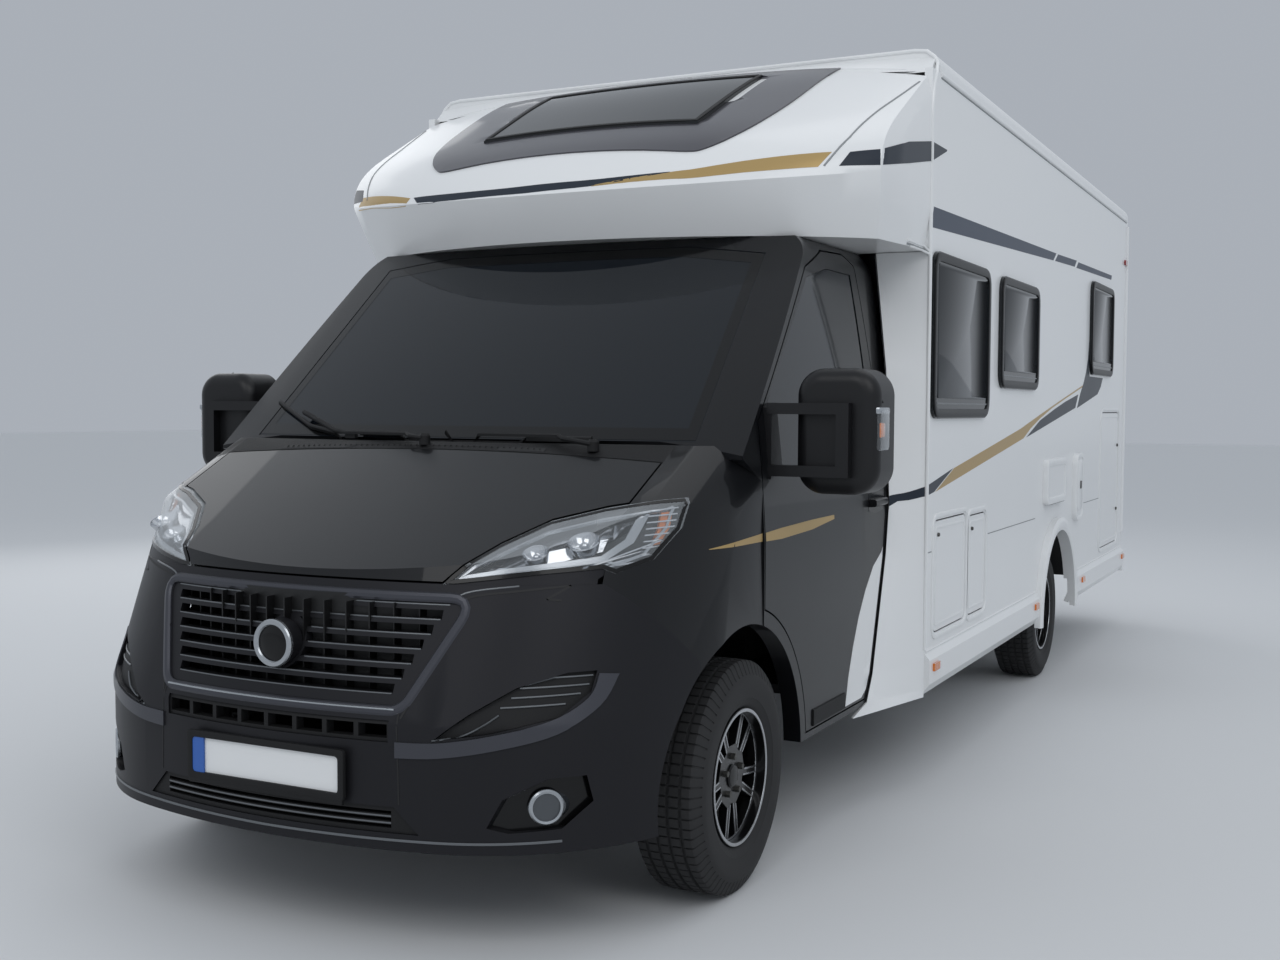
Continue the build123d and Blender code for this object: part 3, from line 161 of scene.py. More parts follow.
def smooth_copy(node, finishes, choose=None):
    """A node's shape with smooth shading, in place of the node. choose gives a face's material."""
    bm = node_bmesh(node)
    if choose:
        for face in bm.faces:
            face.material_index = choose(face)
    return add_piece(node + "_skin", bm, finishes, node, [node], degrees=32)


def place(setback, y, z):
    """A point given as a distance back from the nose, across and up."""
    return Vector((NOSE_X - setback, y, z))


TREES = {}


def surface(nodes):
    """A tree over some nodes' meshes, to lay trim on them."""
    key = tuple(nodes)
    if key not in TREES:
        bm = bmesh.new()
        for node in nodes:
            bm.from_mesh(NODES[node].data)
        TREES[key] = BVHTree.FromBMesh(bm)
        bm.free()
    return TREES[key]


def settle(point, nodes, direction=None):
    """Where a point lands on the nodes, and the surface's outward direction there."""
    tree = surface(nodes)
    if direction is not None:
        direction = Vector(direction).normalized()
        found = tree.ray_cast(Vector(point) - direction * 0.6, direction, 2.0)
        if found[0] is not None:
            normal = found[1]
            return found[0], (-normal if normal.dot(direction) > 0 else normal)
    found = tree.find_nearest(Vector(point))
    return found[0], found[1]


def spread(low, high, count):
    """Numbers evenly spaced from low to high."""
    return [low + (high - low) * i / (count - 1) for i in range(count)]


def even(points, step, closed=False):
    """Points along a polyline, no more than a step apart, with its corners kept."""
    points = [Vector(p) for p in points]
    pairs = list(zip(points, points[1:] + points[:1])) if closed else list(zip(points, points[1:]))
    result = []
    for first, second in pairs:
        count = max(1, math.ceil((second - first).length / step))
        result += [first.lerp(second, i / count) for i in range(count)]
    return result if closed else result + [points[-1]]


def rounded(points, radius, steps=5):
    """A closed outline with its corners turned into arcs."""
    result = []
    count = len(points)
    for i, point in enumerate(points):
        corner = Vector(point)
        before = Vector(points[i - 1]) - corner
        after = Vector(points[(i + 1) % count]) - corner
        reach = radius[i] if isinstance(radius, (list, tuple)) else radius
        if reach <= 0:
            result.append(corner)
            continue
        reach = min(reach, before.length * 0.48, after.length * 0.48)
        start = corner + before.normalized() * reach
        end = corner + after.normalized() * reach
        for k in range(steps + 1):
            t = k / steps
            result.append(start * (1 - t) ** 2 + corner * 2 * t * (1 - t) + end * t ** 2)
    return result


def sheet(rows, normals, lift, depth, closed=False):
    """A closed sheet: a grid of points raised by lift and sunk by depth along its normals."""
    bm = bmesh.new()
    top = [[bm.verts.new(p + n * lift) for p, n in zip(row, lean)]
           for row, lean in zip(rows, normals)]
    under = [[bm.verts.new(p - n * depth) for p, n in zip(row, lean)]
             for row, lean in zip(rows, normals)]
    height = len(rows)
    width = len(rows[0])
    last = height if closed else height - 1
    for i in range(last):
        k = (i + 1) % height
        for j in range(width - 1):
            bm.faces.new((top[i][j], top[k][j], top[k][j + 1], top[i][j + 1]))
            bm.faces.new((under[i][j], under[i][j + 1], under[k][j + 1], under[k][j]))
        bm.faces.new((top[i][0], under[i][0], under[k][0], top[k][0]))
        bm.faces.new((top[i][-1], top[k][-1], under[k][-1], under[i][-1]))
    if not closed:
        for j in range(width - 1):
            bm.faces.new((top[0][j], top[0][j + 1], under[0][j + 1], under[0][j]))
            bm.faces.new((top[-1][j], under[-1][j], under[-1][j + 1], top[-1][j + 1]))
    bmesh.ops.remove_doubles(bm, verts=bm.verts, dist=0.00001)
    bmesh.ops.recalc_face_normals(bm, faces=bm.faces)
    return bm


def band(rungs, nodes, lift=None, depth=0.0015, step=0.03, across=3, direction=None,
         closed=False):
    """A strip laid on the nodes. Each rung is its edge on one side and on the other."""
    lift = settings().decal_lift if lift is None else lift
    left = [Vector(r[0]) for r in rungs]
    right = [Vector(r[1]) for r in rungs]
    if closed:
        left.append(left[0])
        right.append(right[0])
    fine = []
    for i in range(len(left) - 1):
        span = max((left[i + 1] - left[i]).length, (right[i + 1] - right[i]).length)
        count = max(1, math.ceil(span / step))
        fine += [(left[i].lerp(left[i + 1], k / count), right[i].lerp(right[i + 1], k / count))
                 for k in range(count)]
    if not closed:
        fine.append((left[-1], right[-1]))
    rows, normals = [], []
    for first, second in fine:
        found = [settle(first.lerp(second, j / across), nodes, direction)
                 for j in range(across + 1)]
        rows.append([f[0] for f in found])
        normals.append([f[1] for f in found])
    return sheet(rows, normals, lift, depth, closed)


def bridge(bm, ring, ahead):
    """Faces between two closed rings with as many points each."""
    count = len(ring)
    for j in range(count):
        k = (j + 1) % count
        bm.faces.new((ring[j], ring[k], ahead[k], ahead[j]))


def sweep(points, normals, section, closed=False):
    """A section carried along a path. A section's point is (sideways, outward)."""
    bm = bmesh.new()
    count = len(points)
    rings = []
    for i, (point, normal) in enumerate(zip(points, normals)):
        if closed:
            along = points[(i + 1) % count] - points[i - 1]
        else:
            along = points[min(i + 1, count - 1)] - points[max(i - 1, 0)]
        along.normalize()
        side = along.cross(normal).normalized()
        out = side.cross(along).normalized()
        rings.append([bm.verts.new(point + side * a + out * b) for a, b in section])
    for i in range(count if closed else count - 1):
        bridge(bm, rings[i], rings[(i + 1) % count])
    if not closed:
        bm.faces.new(list(reversed(rings[0])))
        bm.faces.new(rings[-1])
    bmesh.ops.recalc_face_normals(bm, faces=bm.faces)
    return bm


def round_section(radius, steps=8, sink=0.0):
    """A round bar's section, its middle sunk below the surface by sink."""
    return [(radius * math.cos(2 * math.pi * i / steps),
             radius * math.sin(2 * math.pi * i / steps) - sink) for i in range(steps)]


def flat_section(width, low, high, chamfer=0.0):
    """A strip's section: its width, from low to high, with its outer edges cut."""
    half = width / 2
    return [(-half, low), (half, low), (half, high - chamfer), (half - chamfer, high),
            (chamfer - half, high), (-half, high - chamfer)] if chamfer else [
                (-half, low), (half, low), (half, high), (-half, high)]


def bead(points, nodes, section, step=0.03, closed=False, direction=None):
    """A seam or a moulding that follows the nodes' surface."""
    found = [settle(p, nodes, direction) for p in even(points, step, closed)]
    return sweep([f[0] for f in found], [f[1] for f in found], section, closed)


def rod(points, radius, steps=8, closed=False, normal=(0, 0, 1)):
    """A round bar along a path."""
    points = [Vector(p) for p in points]
    return sweep(points, [Vector(normal)] * len(points), round_section(radius, steps), closed)


def round_edges(bm, edges, width):
    """Rounds some edges of a bmesh."""
    bmesh.ops.bevel(bm, geom=edges, offset=width, segments=2, affect="EDGES", profile=0.5,
                    clamp_overlap=True)


def slab(outline, offset, bevel=0.0):
    """A closed outline in space given thickness by an offset, with its far edge rounded."""
    bm = bmesh.new()
    near = [bm.verts.new(Vector(p)) for p in outline]
    far = [bm.verts.new(Vector(p) + Vector(offset)) for p in outline]
    count = len(outline)
    bm.faces.new(near)
    bm.faces.new(list(reversed(far)))
    for i in range(count):
        k = (i + 1) % count
        bm.faces.new((near[k], near[i], far[i], far[k]))
    bmesh.ops.recalc_face_normals(bm, faces=bm.faces)
    if bevel:
        rim = set(far)
        round_edges(bm, [e for e in bm.edges if all(v in rim for v in e.verts)], bevel)
    return bm


def ring_slab(outer, inner, offset, bevel=0.0):
    """A closed frame between two outlines with as many points each."""
    bm = bmesh.new()
    sets = []
    for outline in (outer, inner):
        sets.append([bm.verts.new(Vector(p)) for p in outline])
        sets.append([bm.verts.new(Vector(p) + Vector(offset)) for p in outline])
    out_near, out_far, in_near, in_far = sets
    count = len(outer)
    for i in range(count):
        k = (i + 1) % count
        bm.faces.new((out_near[i], out_near[k], out_far[k], out_far[i]))
        bm.faces.new((in_near[k], in_near[i], in_far[i], in_far[k]))
        bm.faces.new((out_far[i], out_far[k], in_far[k], in_far[i]))
        bm.faces.new((out_near[k], out_near[i], in_near[i], in_near[k]))
    bmesh.ops.recalc_face_normals(bm, faces=bm.faces)
    if bevel:
        rims = (set(out_far), set(in_far))
        round_edges(bm, [e for e in bm.edges
                         if any(all(v in rim for v in e.verts) for rim in rims)], bevel)
    return bm


def block(one, other, bevel=0.0):
    """A box between two opposite corners, with rounded edges."""
    bm = bmesh.new()
    low = Vector([min(pair) for pair in zip(one, other)])
    high = Vector([max(pair) for pair in zip(one, other)])
    bmesh.ops.create_cube(bm, size=1.0, matrix=Matrix.Translation((low + high) / 2)
                          @ Matrix.Diagonal((*(high - low), 1)))
    if bevel:
        round_edges(bm, list(bm.edges), bevel)
    bmesh.ops.recalc_face_normals(bm, faces=bm.faces)
    return bm


def lathe(profile, centre, axis="Y", steps=48, sign=1.0):
    """A closed profile of (along, radius) turned about an axis through a centre."""
    bm = bmesh.new()
    turn = {"Y": lambda a, c, s: (c, a * sign, s), "X": lambda a, c, s: (a * sign, c, s),
            "Z": lambda a, c, s: (c, s, a * sign)}[axis]
    rings = []
    for i in range(steps):
        angle = 2 * math.pi * i / steps
        rings.append([bm.verts.new(Vector(centre) + Vector(
            turn(a, r * math.cos(angle), r * math.sin(angle)))) for a, r in profile])
    for i in range(steps):
        bridge(bm, rings[i], rings[(i + 1) % steps])
    bmesh.ops.remove_doubles(bm, verts=bm.verts, dist=0.00001)
    bmesh.ops.dissolve_degenerate(bm, edges=bm.edges, dist=0.000005)
    bmesh.ops.recalc_face_normals(bm, faces=bm.faces)
    return bm


def joined(parts):
    """Several bmeshes as one."""
    whole = bmesh.new()
    for part in parts:
        mesh = bpy.data.meshes.new("part")
        part.to_mesh(mesh)
        part.free()
        whole.from_mesh(mesh)
        bpy.data.meshes.remove(mesh)
    return whole


def face_outline(x, near, far, low, high, radius, grow=0.0):
    """A rounded rectangle that faces along the vehicle, from its two y and two z limits."""
    out = grow if far > near else -grow
    return rounded([(x, near - out, low - grow), (x, near - out, high + grow),
                    (x, far + out, high + grow), (x, far + out, low - grow)], radius)


def side_points(pairs, y=COACH_SIDE):
    """Points across at y from (setback, height) pairs."""
    return [place(s, y, z) for s, z in pairs]


def add_node(tree, kind, values=(), **options):
    """A node with its options set, and each input given a value or linked to an output."""
    node = tree.nodes.new(kind)
    for name, value in options.items():
        setattr(node, name, value)
    for socket, value in dict(values).items():
        if isinstance(value, bpy.types.NodeSocket):
            tree.links.new(value, node.inputs[socket])
        else:
            node.inputs[socket].default_value = value
    return node


def new_group(name, kind, takes, gives):
    """A node group with its sockets: what it takes as (name, kind, default), what it gives."""
    tree = bpy.data.node_groups.new(name, kind)
    for label, socket_kind, default in takes:
        socket = tree.interface.new_socket(name=label, in_out="INPUT",
                                           socket_type="NodeSocket" + socket_kind)
        if default is not None:
            socket.default_value = default
    for label, socket_kind in gives:
        tree.interface.new_socket(name=label, in_out="OUTPUT",
                                  socket_type="NodeSocket" + socket_kind)
    return tree


def fine_surface_group():
    """Shared effect: slow drift of colour, slight changes of gloss and a fine bump."""
    found = bpy.data.node_groups.get("Fine surface")
    if found:
        return found
    tree = new_group(
        "Fine surface", "ShaderNodeTree",
        (("Color", "Color", (0.5, 0.5, 0.5, 1)), ("Drift", "Float", 0.03),
         ("Roughness", "Float", 0.4), ("Gloss change", "Float", 0.05),
         ("Grain scale", "Float", 300.0), ("Grain height", "Float", 0.1)),
        (("Color", "Color"), ("Roughness", "Float"), ("Normal", "Vector")))
    given = add_node(tree, "NodeGroupInput").outputs
    spot = add_node(tree, "ShaderNodeTexCoord").outputs["Object"]
    cloud = add_node(tree, "ShaderNodeTexNoise", {"Vector": spot, "Scale": 2.5, "Detail": 4})
    grain = add_node(tree, "ShaderNodeTexNoise",
                     {"Vector": spot, "Scale": given["Grain scale"], "Detail": 3})
    centre = add_node(tree, "ShaderNodeMath", {0: cloud.outputs["Fac"], 1: 0.5},
                      operation="SUBTRACT").outputs[0]
    shift = add_node(tree, "ShaderNodeMath", {0: centre, 1: given["Drift"], 2: 1.0},
                     operation="MULTIPLY_ADD")
    tint = add_node(tree, "ShaderNodeVectorMath",
                    {0: given["Color"], "Scale": shift.outputs[0]}, operation="SCALE")
    gloss = add_node(tree, "ShaderNodeMath",
                     {0: centre, 1: given["Gloss change"], 2: given["Roughness"]},
                     operation="MULTIPLY_ADD")
    bump = add_node(tree, "ShaderNodeBump", {"Distance": 0.001, "Strength": given["Grain height"],
                                             "Height": grain.outputs["Fac"]})
    add_node(tree, "NodeGroupOutput", {"Color": tint.outputs[0], "Roughness": gloss.outputs[0],
                                       "Normal": bump.outputs["Normal"]})
    return tree


def finish_material(name, color, roughness, metallic=0.0, drift=0.04, change=0.05, scale=300.0,
                    height=0.05, coat=0.0, coat_roughness=0.03, **sockets):
    """A painted, moulded or cast finish. The group carries what changes over the surface."""
    material = bpy.data.materials.new(name)
    material.use_nodes = True
    tree = material.node_tree
    shader = tree.nodes["Principled BSDF"]
    group = add_node(tree, "ShaderNodeGroup",
                     {"Color": color, "Drift": drift, "Roughness": roughness,
                      "Gloss change": change, "Grain scale": scale, "Grain height": height},
                     node_tree=fine_surface_group())
    for source, target in (("Color", "Base Color"), ("Roughness", "Roughness"),
                           ("Normal", "Normal")):
        tree.links.new(group.outputs[source], shader.inputs[target])
    shader.inputs["Metallic"].default_value = metallic
    shader.inputs["Coat Weight"].default_value = coat
    shader.inputs["Coat Roughness"].default_value = coat_roughness
    for socket, value in sockets.items():
        shader.inputs[socket.replace("_", " ")].default_value = value
    return material


# Each finish: label, hex colour or setting, roughness, then what differs from the usual
LOOKS = {
    "cab_black": ("Cab black", "cab_paint", 0.38, dict(metallic=0.2, drift=0.06, change=0.04,
        scale=900, height=0.02, coat=0.35, coat_roughness=0.03, Specular_IOR_Level=0.2)),
    "bumper_anthracite": ("Bumper anthracite", "bumper_paint", 0.42, dict(metallic=0.45, drift=0.05,
        change=0.06, scale=700, height=0.04, Specular_IOR_Level=0.25)),
    "coach_white": ("Coach white", "coach_white", 0.3, dict(drift=0.015, change=0.05, scale=120,
        height=0.02, coat=0.2, coat_roughness=0.1)),
    "cap_grey": ("Cap grey", "cap_panel", 0.35, dict(metallic=0.2, drift=0.04, scale=500,
        height=0.03, coat=0.5, coat_roughness=0.08)),
    "grained_black": ("Grained black plastic", "161617", 0.6, dict(drift=0.06, change=0.1,
        scale=1400, height=0.35, Specular_IOR_Level=0.3)),
    "gloss_black": ("Gloss black", "0a0a0b", 0.2, dict(drift=0.03, scale=600, height=0.02,
        coat=0.15, Specular_IOR_Level=0.25)),
    "chassis_black": ("Chassis black", "161617", 0.6, dict(drift=0.15, change=0.2, scale=260,
        height=0.3)),
    "cast_iron": ("Cast iron", "2a2a2b", 0.65, dict(metallic=0.7, drift=0.2, change=0.2, scale=420,
        height=0.6)),
    "bare_steel": ("Aged steel", "5b5a57", 0.45, dict(metallic=0.9, drift=0.25, change=0.2,
        scale=200, height=0.2)),
    "tyre_rubber": ("Tyre rubber", "242425", 0.78, dict(drift=0.12, change=0.08, scale=900,
        height=0.3)),
    "window_black": ("Tinted acrylic", "14171a", 0.07, dict(drift=0.03, change=0.02, scale=40,
        height=0.01, Specular_IOR_Level=0.35)),
    "screen_dark": ("Tinted glass", "10151b", 0.05, dict(drift=0.02, change=0.01, scale=30,
        height=0.0, Specular_IOR_Level=0.35)),
    "seat_cloth": ("Woven cloth", "2b2b2d", 0.85, dict(drift=0.1, change=0.05, scale=2200,
        height=0.6, Sheen_Weight=0.3)),
    "trim_grey": ("Trim grey", "2f2f31", 0.6, dict(drift=0.06, change=0.06, scale=1500,
        height=0.25)),
    "red_lens": ("Red lens", "8a1414", 0.15, dict(drift=0.05, scale=200, height=0.05, coat=0.7)),
    "amber_lens": ("Amber lens", "d9741a", 0.15, dict(drift=0.05, scale=200, height=0.05,
        coat=0.7)),
    "white_plate": ("Blank plate", "e6e7e7", 0.35, dict(drift=0.02, scale=900, height=0.05)),
    "fog_lens": ("Fog lamp lens", "4c5054", 0.08, dict(metallic=0.6, drift=0.2, scale=60,
        height=0.1, coat=0.6)),
    "roof_lens": ("Roof light lens", "d8dadb", 0.25, dict(drift=0.03, scale=200, height=0.05,
        coat=0.5)),
    "alloy_black": ("Alloy black", "141415", 0.3, dict(metallic=0.4, drift=0.05, scale=600,
        height=0.05, coat=0.5)),
    "seal_black": ("Seal rubber", "0f0f10", 0.6, dict(drift=0.08, change=0.08, scale=1200,
        height=0.2)),
    "slate_film": ("Slate film", "stripe_slate", 0.35, dict(drift=0.05, scale=500, height=0.02,
        Specular_IOR_Level=0.2)),
    "grey_film": ("Grey film", "stripe_grey", 0.4, dict(drift=0.05, scale=500, height=0.02,
        Specular_IOR_Level=0.15)),
    "gold_film": ("Gold film", "stripe_gold", 0.36, dict(metallic=0.35, drift=0.1, scale=500,
        height=0.02, Specular_IOR_Level=0.3)),
    # Grey of real seams; the same grey along the cap's crease and under the roof gutters is painted
    # shade
    "shade_line": ("Seam sealant and painted shade", "8f9294", 0.6, dict(drift=0.06, scale=900, height=0.1)),
    "window_frame": ("Window frame", "121315", 0.35, dict(drift=0.04, scale=900, height=0.08,
        Specular_IOR_Level=0.25)),
    "window_pane": ("Window acrylic", "12171c", 0.05, dict(drift=0.04, change=0.01, scale=40,
        height=0.005, Specular_IOR_Level=0.18)),
    # Satin grey strips; those on the window frames and along the bumper's creases are painted
    # highlights
    "bright_edge": ("Satin edge and painted highlight", "6d7073", 0.3, dict(metallic=0.6, drift=0.05, scale=600,
        height=0.03)),
    # Satin metal of the trims; the strips on the grille's lower edge and on top of the mirror
    # repeaters are painted highlights
    "satin_metal": ("Satin metal", "aeb2b6", 0.25, dict(metallic=0.9, drift=0.05, scale=800,
        height=0.03)),
    "lamp_reflector": ("Lamp reflector", "c9ccd0", 0.12, dict(metallic=0.95, drift=0.1, change=0.08,
        scale=90, height=0.25)),
    "grille_mesh": ("Grille mesh", "0b0b0c", 0.5, dict(drift=0.08, scale=700, height=0.2)),
    "frame_satin": ("Satin frame", "46474d", 0.33, dict(metallic=0.6, drift=0.05, scale=700,
        height=0.03)),
    "plate_band": ("Plate band", "2f5fae", 0.35, dict(drift=0.03, scale=900, height=0.05)),
    "mirror_glass": ("Mirror glass", "9aa0a6", 0.03, dict(metallic=1.0, drift=0.02, scale=60,
        height=0.0)),
    "machined_alloy": ("Machined alloy", "b9bbbe", 0.24, dict(metallic=0.9, drift=0.05, scale=1500,
        height=0.06)),
    "mirror_black": ("Mirror black", "141416", 0.38, dict(drift=0.05, change=0.06, scale=1200,
        height=0.12, Specular_IOR_Level=0.35)),
    "lamp_cover": ("Clear lens", "dfe4e8", 0.03, dict(drift=0.02, change=0.01, scale=60,
        height=0.01)),
}


def look(key):
    """A finish from the table, made once."""
    label, shade, roughness, options = LOOKS[key]
    material = bpy.data.materials.get(label)
    if not material:
        values = settings()
        colour = getattr(values, shade) if hasattr(values, shade) else linear(shade)
        material = finish_material(label, colour, roughness, **options)
        if key == "lamp_cover":
            see_through(material.node_tree)
    return material


def see_through(tree):
    """Clear moulded lens: more see-through face on than edge on."""
    facing = add_node(tree, "ShaderNodeLayerWeight", {"Blend": 0.35})
    span = add_node(tree, "ShaderNodeMapRange",
                    {"Value": facing.outputs["Facing"], "To Min": 0.10, "To Max": 0.65})
    tree.links.new(span.outputs["Result"], tree.nodes["Principled BSDF"].inputs["Alpha"])


# Nodes that a smooth copy replaces, by finish
FINISHES = {
    "cab_black": ("bonnet", "cab_door_left", "cab_door_right", "cab_shell", "front_wings"),
    "bumper_anthracite": ("front_bumper", "grille"),
    "coach_white": ("overcab_cap", "side_wall_left", "side_wall_right", "roof_panel",
                    "rear_wall", "skirts", "rear_bumper", "entrance_door", "garage_door_left",
                    "garage_door_right", "gas_locker_flap", "service_flap", "corner_fairings",
                    "vent_hatches"),
    "grained_black": ("lower_grilles", "scuttle_panel", "wheel_housings", "steering_wheel"),
    "mirror_black": ("mirror_left", "mirror_right"),
    "window_black": ("windows_left", "windows_right", "entrance_door_window", "overcab_skylight"),
    "screen_dark": ("windscreen", "cab_glass_left", "cab_glass_right"),
    "alloy_black": ("wheel_front_left", "wheel_front_right", "wheel_rear_left",
                    "wheel_rear_right"),
}
# Nodes that are only painted, by finish
PLAIN_FINISHES = {
    "chassis_black": ("chassis_rails", "cross_members", "underfloor_tanks"),
    "cast_iron": ("engine_block", "front_suspension", "knuckle_left", "knuckle_right",
                  "rear_axle"),
    "bare_steel": ("exhaust",),
    "coach_white": ("floor_panel",),
    "trim_grey": ("cab_floor", "dashboard"),
    "seat_cloth": ("cab_seats",),
    "red_lens": ("rear_lamps",),
    "amber_lens": ("marker_lamps",),
    "white_plate": ("number_plates",),
    "roof_lens": ("roof_lights",),
}


class MOTORHOME_OT_panels(bpy.types.Operator):
    """Paints the body and gives its curved panels smooth shading"""

    bl_idname = "motorhome.panels"
    bl_label = "Panels"

    def execute(self, context):
        for key, nodes in FINISHES.items():
            for node in nodes:
                smooth_copy(node, key)
        for key, nodes in PLAIN_FINISHES.items():
            for node in nodes:
                materials = NODES[node].data.materials
                materials.clear()
                materials.append(look(key))
        return {"FINISHED"}


CAP = ("overcab_cap",)
# The dark panel on top of the cap and the skylight in it, as (setback, y)
CAP_PANEL = ((1.60, 0.0), (1.60, 0.30), (1.603, 0.50), (1.63, 0.57), (1.70, 0.635), (1.82, 0.69),
             (2.05, 0.735), (2.44, 0.765))
SKYLIGHT_EDGE = ((1.79, 0.0), (1.79, 0.20), (1.79, 0.34), (1.79, 0.42), (1.79, 0.458),
                 (1.84, 0.459), (2.05, 0.463), (2.34, 0.474))
# Wedge that closes the step between cap and roof at each outer end, as (setback, height)
ROOF_CORNER = ((2.435, 2.733), (2.503, 2.803), (2.53, 2.803), (2.53, 2.733))
# Stripes round the cap's front: upper and lower edge, as (setback, y, z)
SLATE_BAND = (
    ((1.551, -0.62, 2.246), (1.527, -0.585, 2.218)), ((1.50, -0.40, 2.243), (1.482, -0.386, 2.215)),
    ((1.476, -0.186, 2.240), (1.455, -0.15, 2.215)), ((1.475, 0.0, 2.243), (1.453, 0.0, 2.217)),
    ((1.487, 0.221, 2.249), (1.469, 0.231, 2.229)), ((1.529, 0.473, 2.266), (1.528, 0.471, 2.263)))
GOLD_BAND = (
    ((1.469, 0.20, 2.226), (1.468, 0.20, 2.222)), ((1.532, 0.475, 2.263), (1.51, 0.45, 2.236)),
    ((1.557, 0.574, 2.276), (1.537, 0.583, 2.242)), ((1.635, 0.764, 2.305), (1.62, 0.78, 2.258)),
    ((1.75, 0.982, 2.331), (1.704, 0.949, 2.276)))
GOLD_FAR_BAND = (
    ((1.749, -1.01, 2.296), (1.786, -1.065, 2.252)), ((1.66, -0.87, 2.285), (1.67, -0.90, 2.240)),
    ((1.60, -0.74, 2.265), (1.60, -0.75, 2.226)), ((1.558, -0.64, 2.246), (1.556, -0.66, 2.219)))
# A raised crease on each flank of the cap; the thin grey bead along it is painted shade
GROOVE = ((1.716, 0.966, 2.280), (1.821, 1.022, 2.391), (2.038, 1.06, 2.520),
          (2.219, 1.097, 2.616), (2.33, 1.12, 2.68))
SWOOSH_ON_CAP = (
    ((1.783, 1.036, 2.332), (1.745, 1.01, 2.281)), ((1.847, 1.122, 2.346), (1.835, 1.127, 2.290)),
    ((2.10, 1.15, 2.412), (2.10, 1.15, 2.335)), ((2.392, 1.15, 2.462), (2.392, 1.15, 2.388)))
SWOOSH_ON_SIDE = (((2.404, 1.15, 2.464), (2.404, 1.15, 2.390)),
                  ((2.62, 1.15, 2.466), (2.614, 1.15, 2.459)))
COACH_SEAM = ((2.40, 1.1505, 0.53), (2.40, 1.1505, 2.60), (2.42, 1.15, 2.68),
              (2.46, 1.149, 2.735), (2.495, 1.142, 2.775), (2.50, 1.128, 2.802),
              (2.50, 1.098, 2.826), (2.50, 1.05, 2.832), (2.50, 0.6, 2.832), (2.50, 0.0, 2.832))


def spaced(points):
    """Points given as (setback, y, z)."""
    return [place(*p) for p in points]


def rungs(pairs):
    """Pairs of points given as (setback, y, z)."""
    return [(place(*a), place(*b)) for a, b in pairs]


# A height above the cap, to lay trim down on it from
ABOVE_CAP = 2.6


class MOTORHOME_OT_cap(bpy.types.Operator):
    """Lays the dark skylight panel, the stripes and the seams on the overcab cap"""

    bl_idname = "motorhome.cap"
    bl_label = "Cap trim"

    def execute(self, context):
        body = "overcab_cap"
        half = [(place(*a, ABOVE_CAP), place(*b, ABOVE_CAP))
                for a, b in zip(eased(CAP_PANEL, 6), eased(SKYLIGHT_EDGE, 6))]
        other = [(Vector((a.x, -a.y, a.z)), Vector((b.x, -b.y, b.z))) for a, b in half[1:]]
        around = list(reversed(other)) + half
        panel = band(around, CAP, lift=0.006, depth=0.004, step=0.04, across=6, direction=DOWN)
        add_piece("cap_skylight_panel", panel, "cap_grey", body)
        rear = band([(place(2.34, -0.76, 2.7), place(2.46, -0.766, 2.7)),
                     (place(2.34, 0.76, 2.7), place(2.46, 0.766, 2.7))],
                    ("overcab_cap", "overcab_skylight"), lift=0.005, depth=0.004, step=0.05,
                    direction=DOWN)
        add_piece("cap_panel_rear_strip", rear, "cap_grey", body)
        inner = ((1.797, 0.448), (1.93, 0.455), (2.15, 0.467), (2.333, 0.476))
        path = [place(s, -y, ABOVE_CAP) for s, y in reversed(inner)]
        path += [place(s, y, ABOVE_CAP) for s, y in inner]
        add_piece("skylight_seal",
                  bead(path, ("overcab_skylight",), flat_section(0.018, -0.004, 0.004, 0.002),
                       step=0.05, closed=True, direction=DOWN), "seal_black", body)
        rows, normals = [], []
        for y in spread(-1.12, 1.12, 45):
            front = settle(place(2.455, y, 3.0), ("overcab_cap",), DOWN)
            back = settle(place(2.525, y, 3.0), ("roof_panel",), DOWN)
            rows.append([front[0].lerp(back[0], t) for t in (0, 0.33, 0.67, 1)])
            normals.append([(front[1] + back[1]).normalized()] * 4)
        add_piece("cap_roof_joint", sheet(rows, normals, 0.002, 0.02), "coach_white", body)
        for name, pairs, key in (("cap_slate_band", SLATE_BAND, "slate_film"),
                                 ("cap_gold_band", GOLD_BAND, "gold_film"),
                                 ("cap_gold_band_far", GOLD_FAR_BAND, "gold_film")):
            add_piece(name, band(rungs(eased_rungs(pairs)), CAP, lift=0.0012), key, body)
        for side, name in SIDES:
            def turned(points):
                return [Vector((p.x, p.y * side, p.z)) for p in points]

            # Grey bead along the cap's crease: painted shade
            groove = bead(turned(spaced(GROOVE)), CAP, round_section(0.005, 6, 0.002), 0.04)
            add_piece("cap_crease_shade_" + name, groove, "shade_line", body)
            for piece, pairs, nodes, lift in (
                    ("cap", SWOOSH_ON_CAP, CAP, 0.0012),
                    ("coach", SWOOSH_ON_SIDE, ("side_wall_" + name,), 0.0008)):
                strip = [turned(pair) for pair in rungs(pairs)]
                add_piece(piece + "_swoosh_" + name, band(strip, nodes, lift=lift),
                          "slate_film", body)
            wedge = turned([place(s, 1.0, z) for s, z in ROOF_CORNER])
            add_piece("cap_corner_filler_" + name, slab(wedge, (0, 0.132 * side, 0)),
                      "coach_white", body)
            seam = rod(even(turned(spaced(COACH_SEAM)), 0.05), 0.008, 8, normal=(1, 0, 0))
            add_piece("coach_seam_bead_" + name, seam, "coach_white", body)
            low, high, cut = [turned(spaced(((start, COACH_SIDE, z), (2.395, COACH_SIDE, z))))
                              for start, z in ((2.21, 2.040), (2.18, 2.066), (2.18, 2.053))]
            both = ("corner_fairings", "overcab_cap")
            lips = [bead(path, both, round_section(0.005, 6), 0.02) for path in (low, high)]
            add_piece("fairing_seam_" + name, lips, "coach_white", body)
            gap = bead(cut, both, flat_section(0.008, -0.002, 0.0012), 0.02)
            add_piece("fairing_seam_gap_" + name, gap, "shade_line", body)
        return {"FINISHED"}


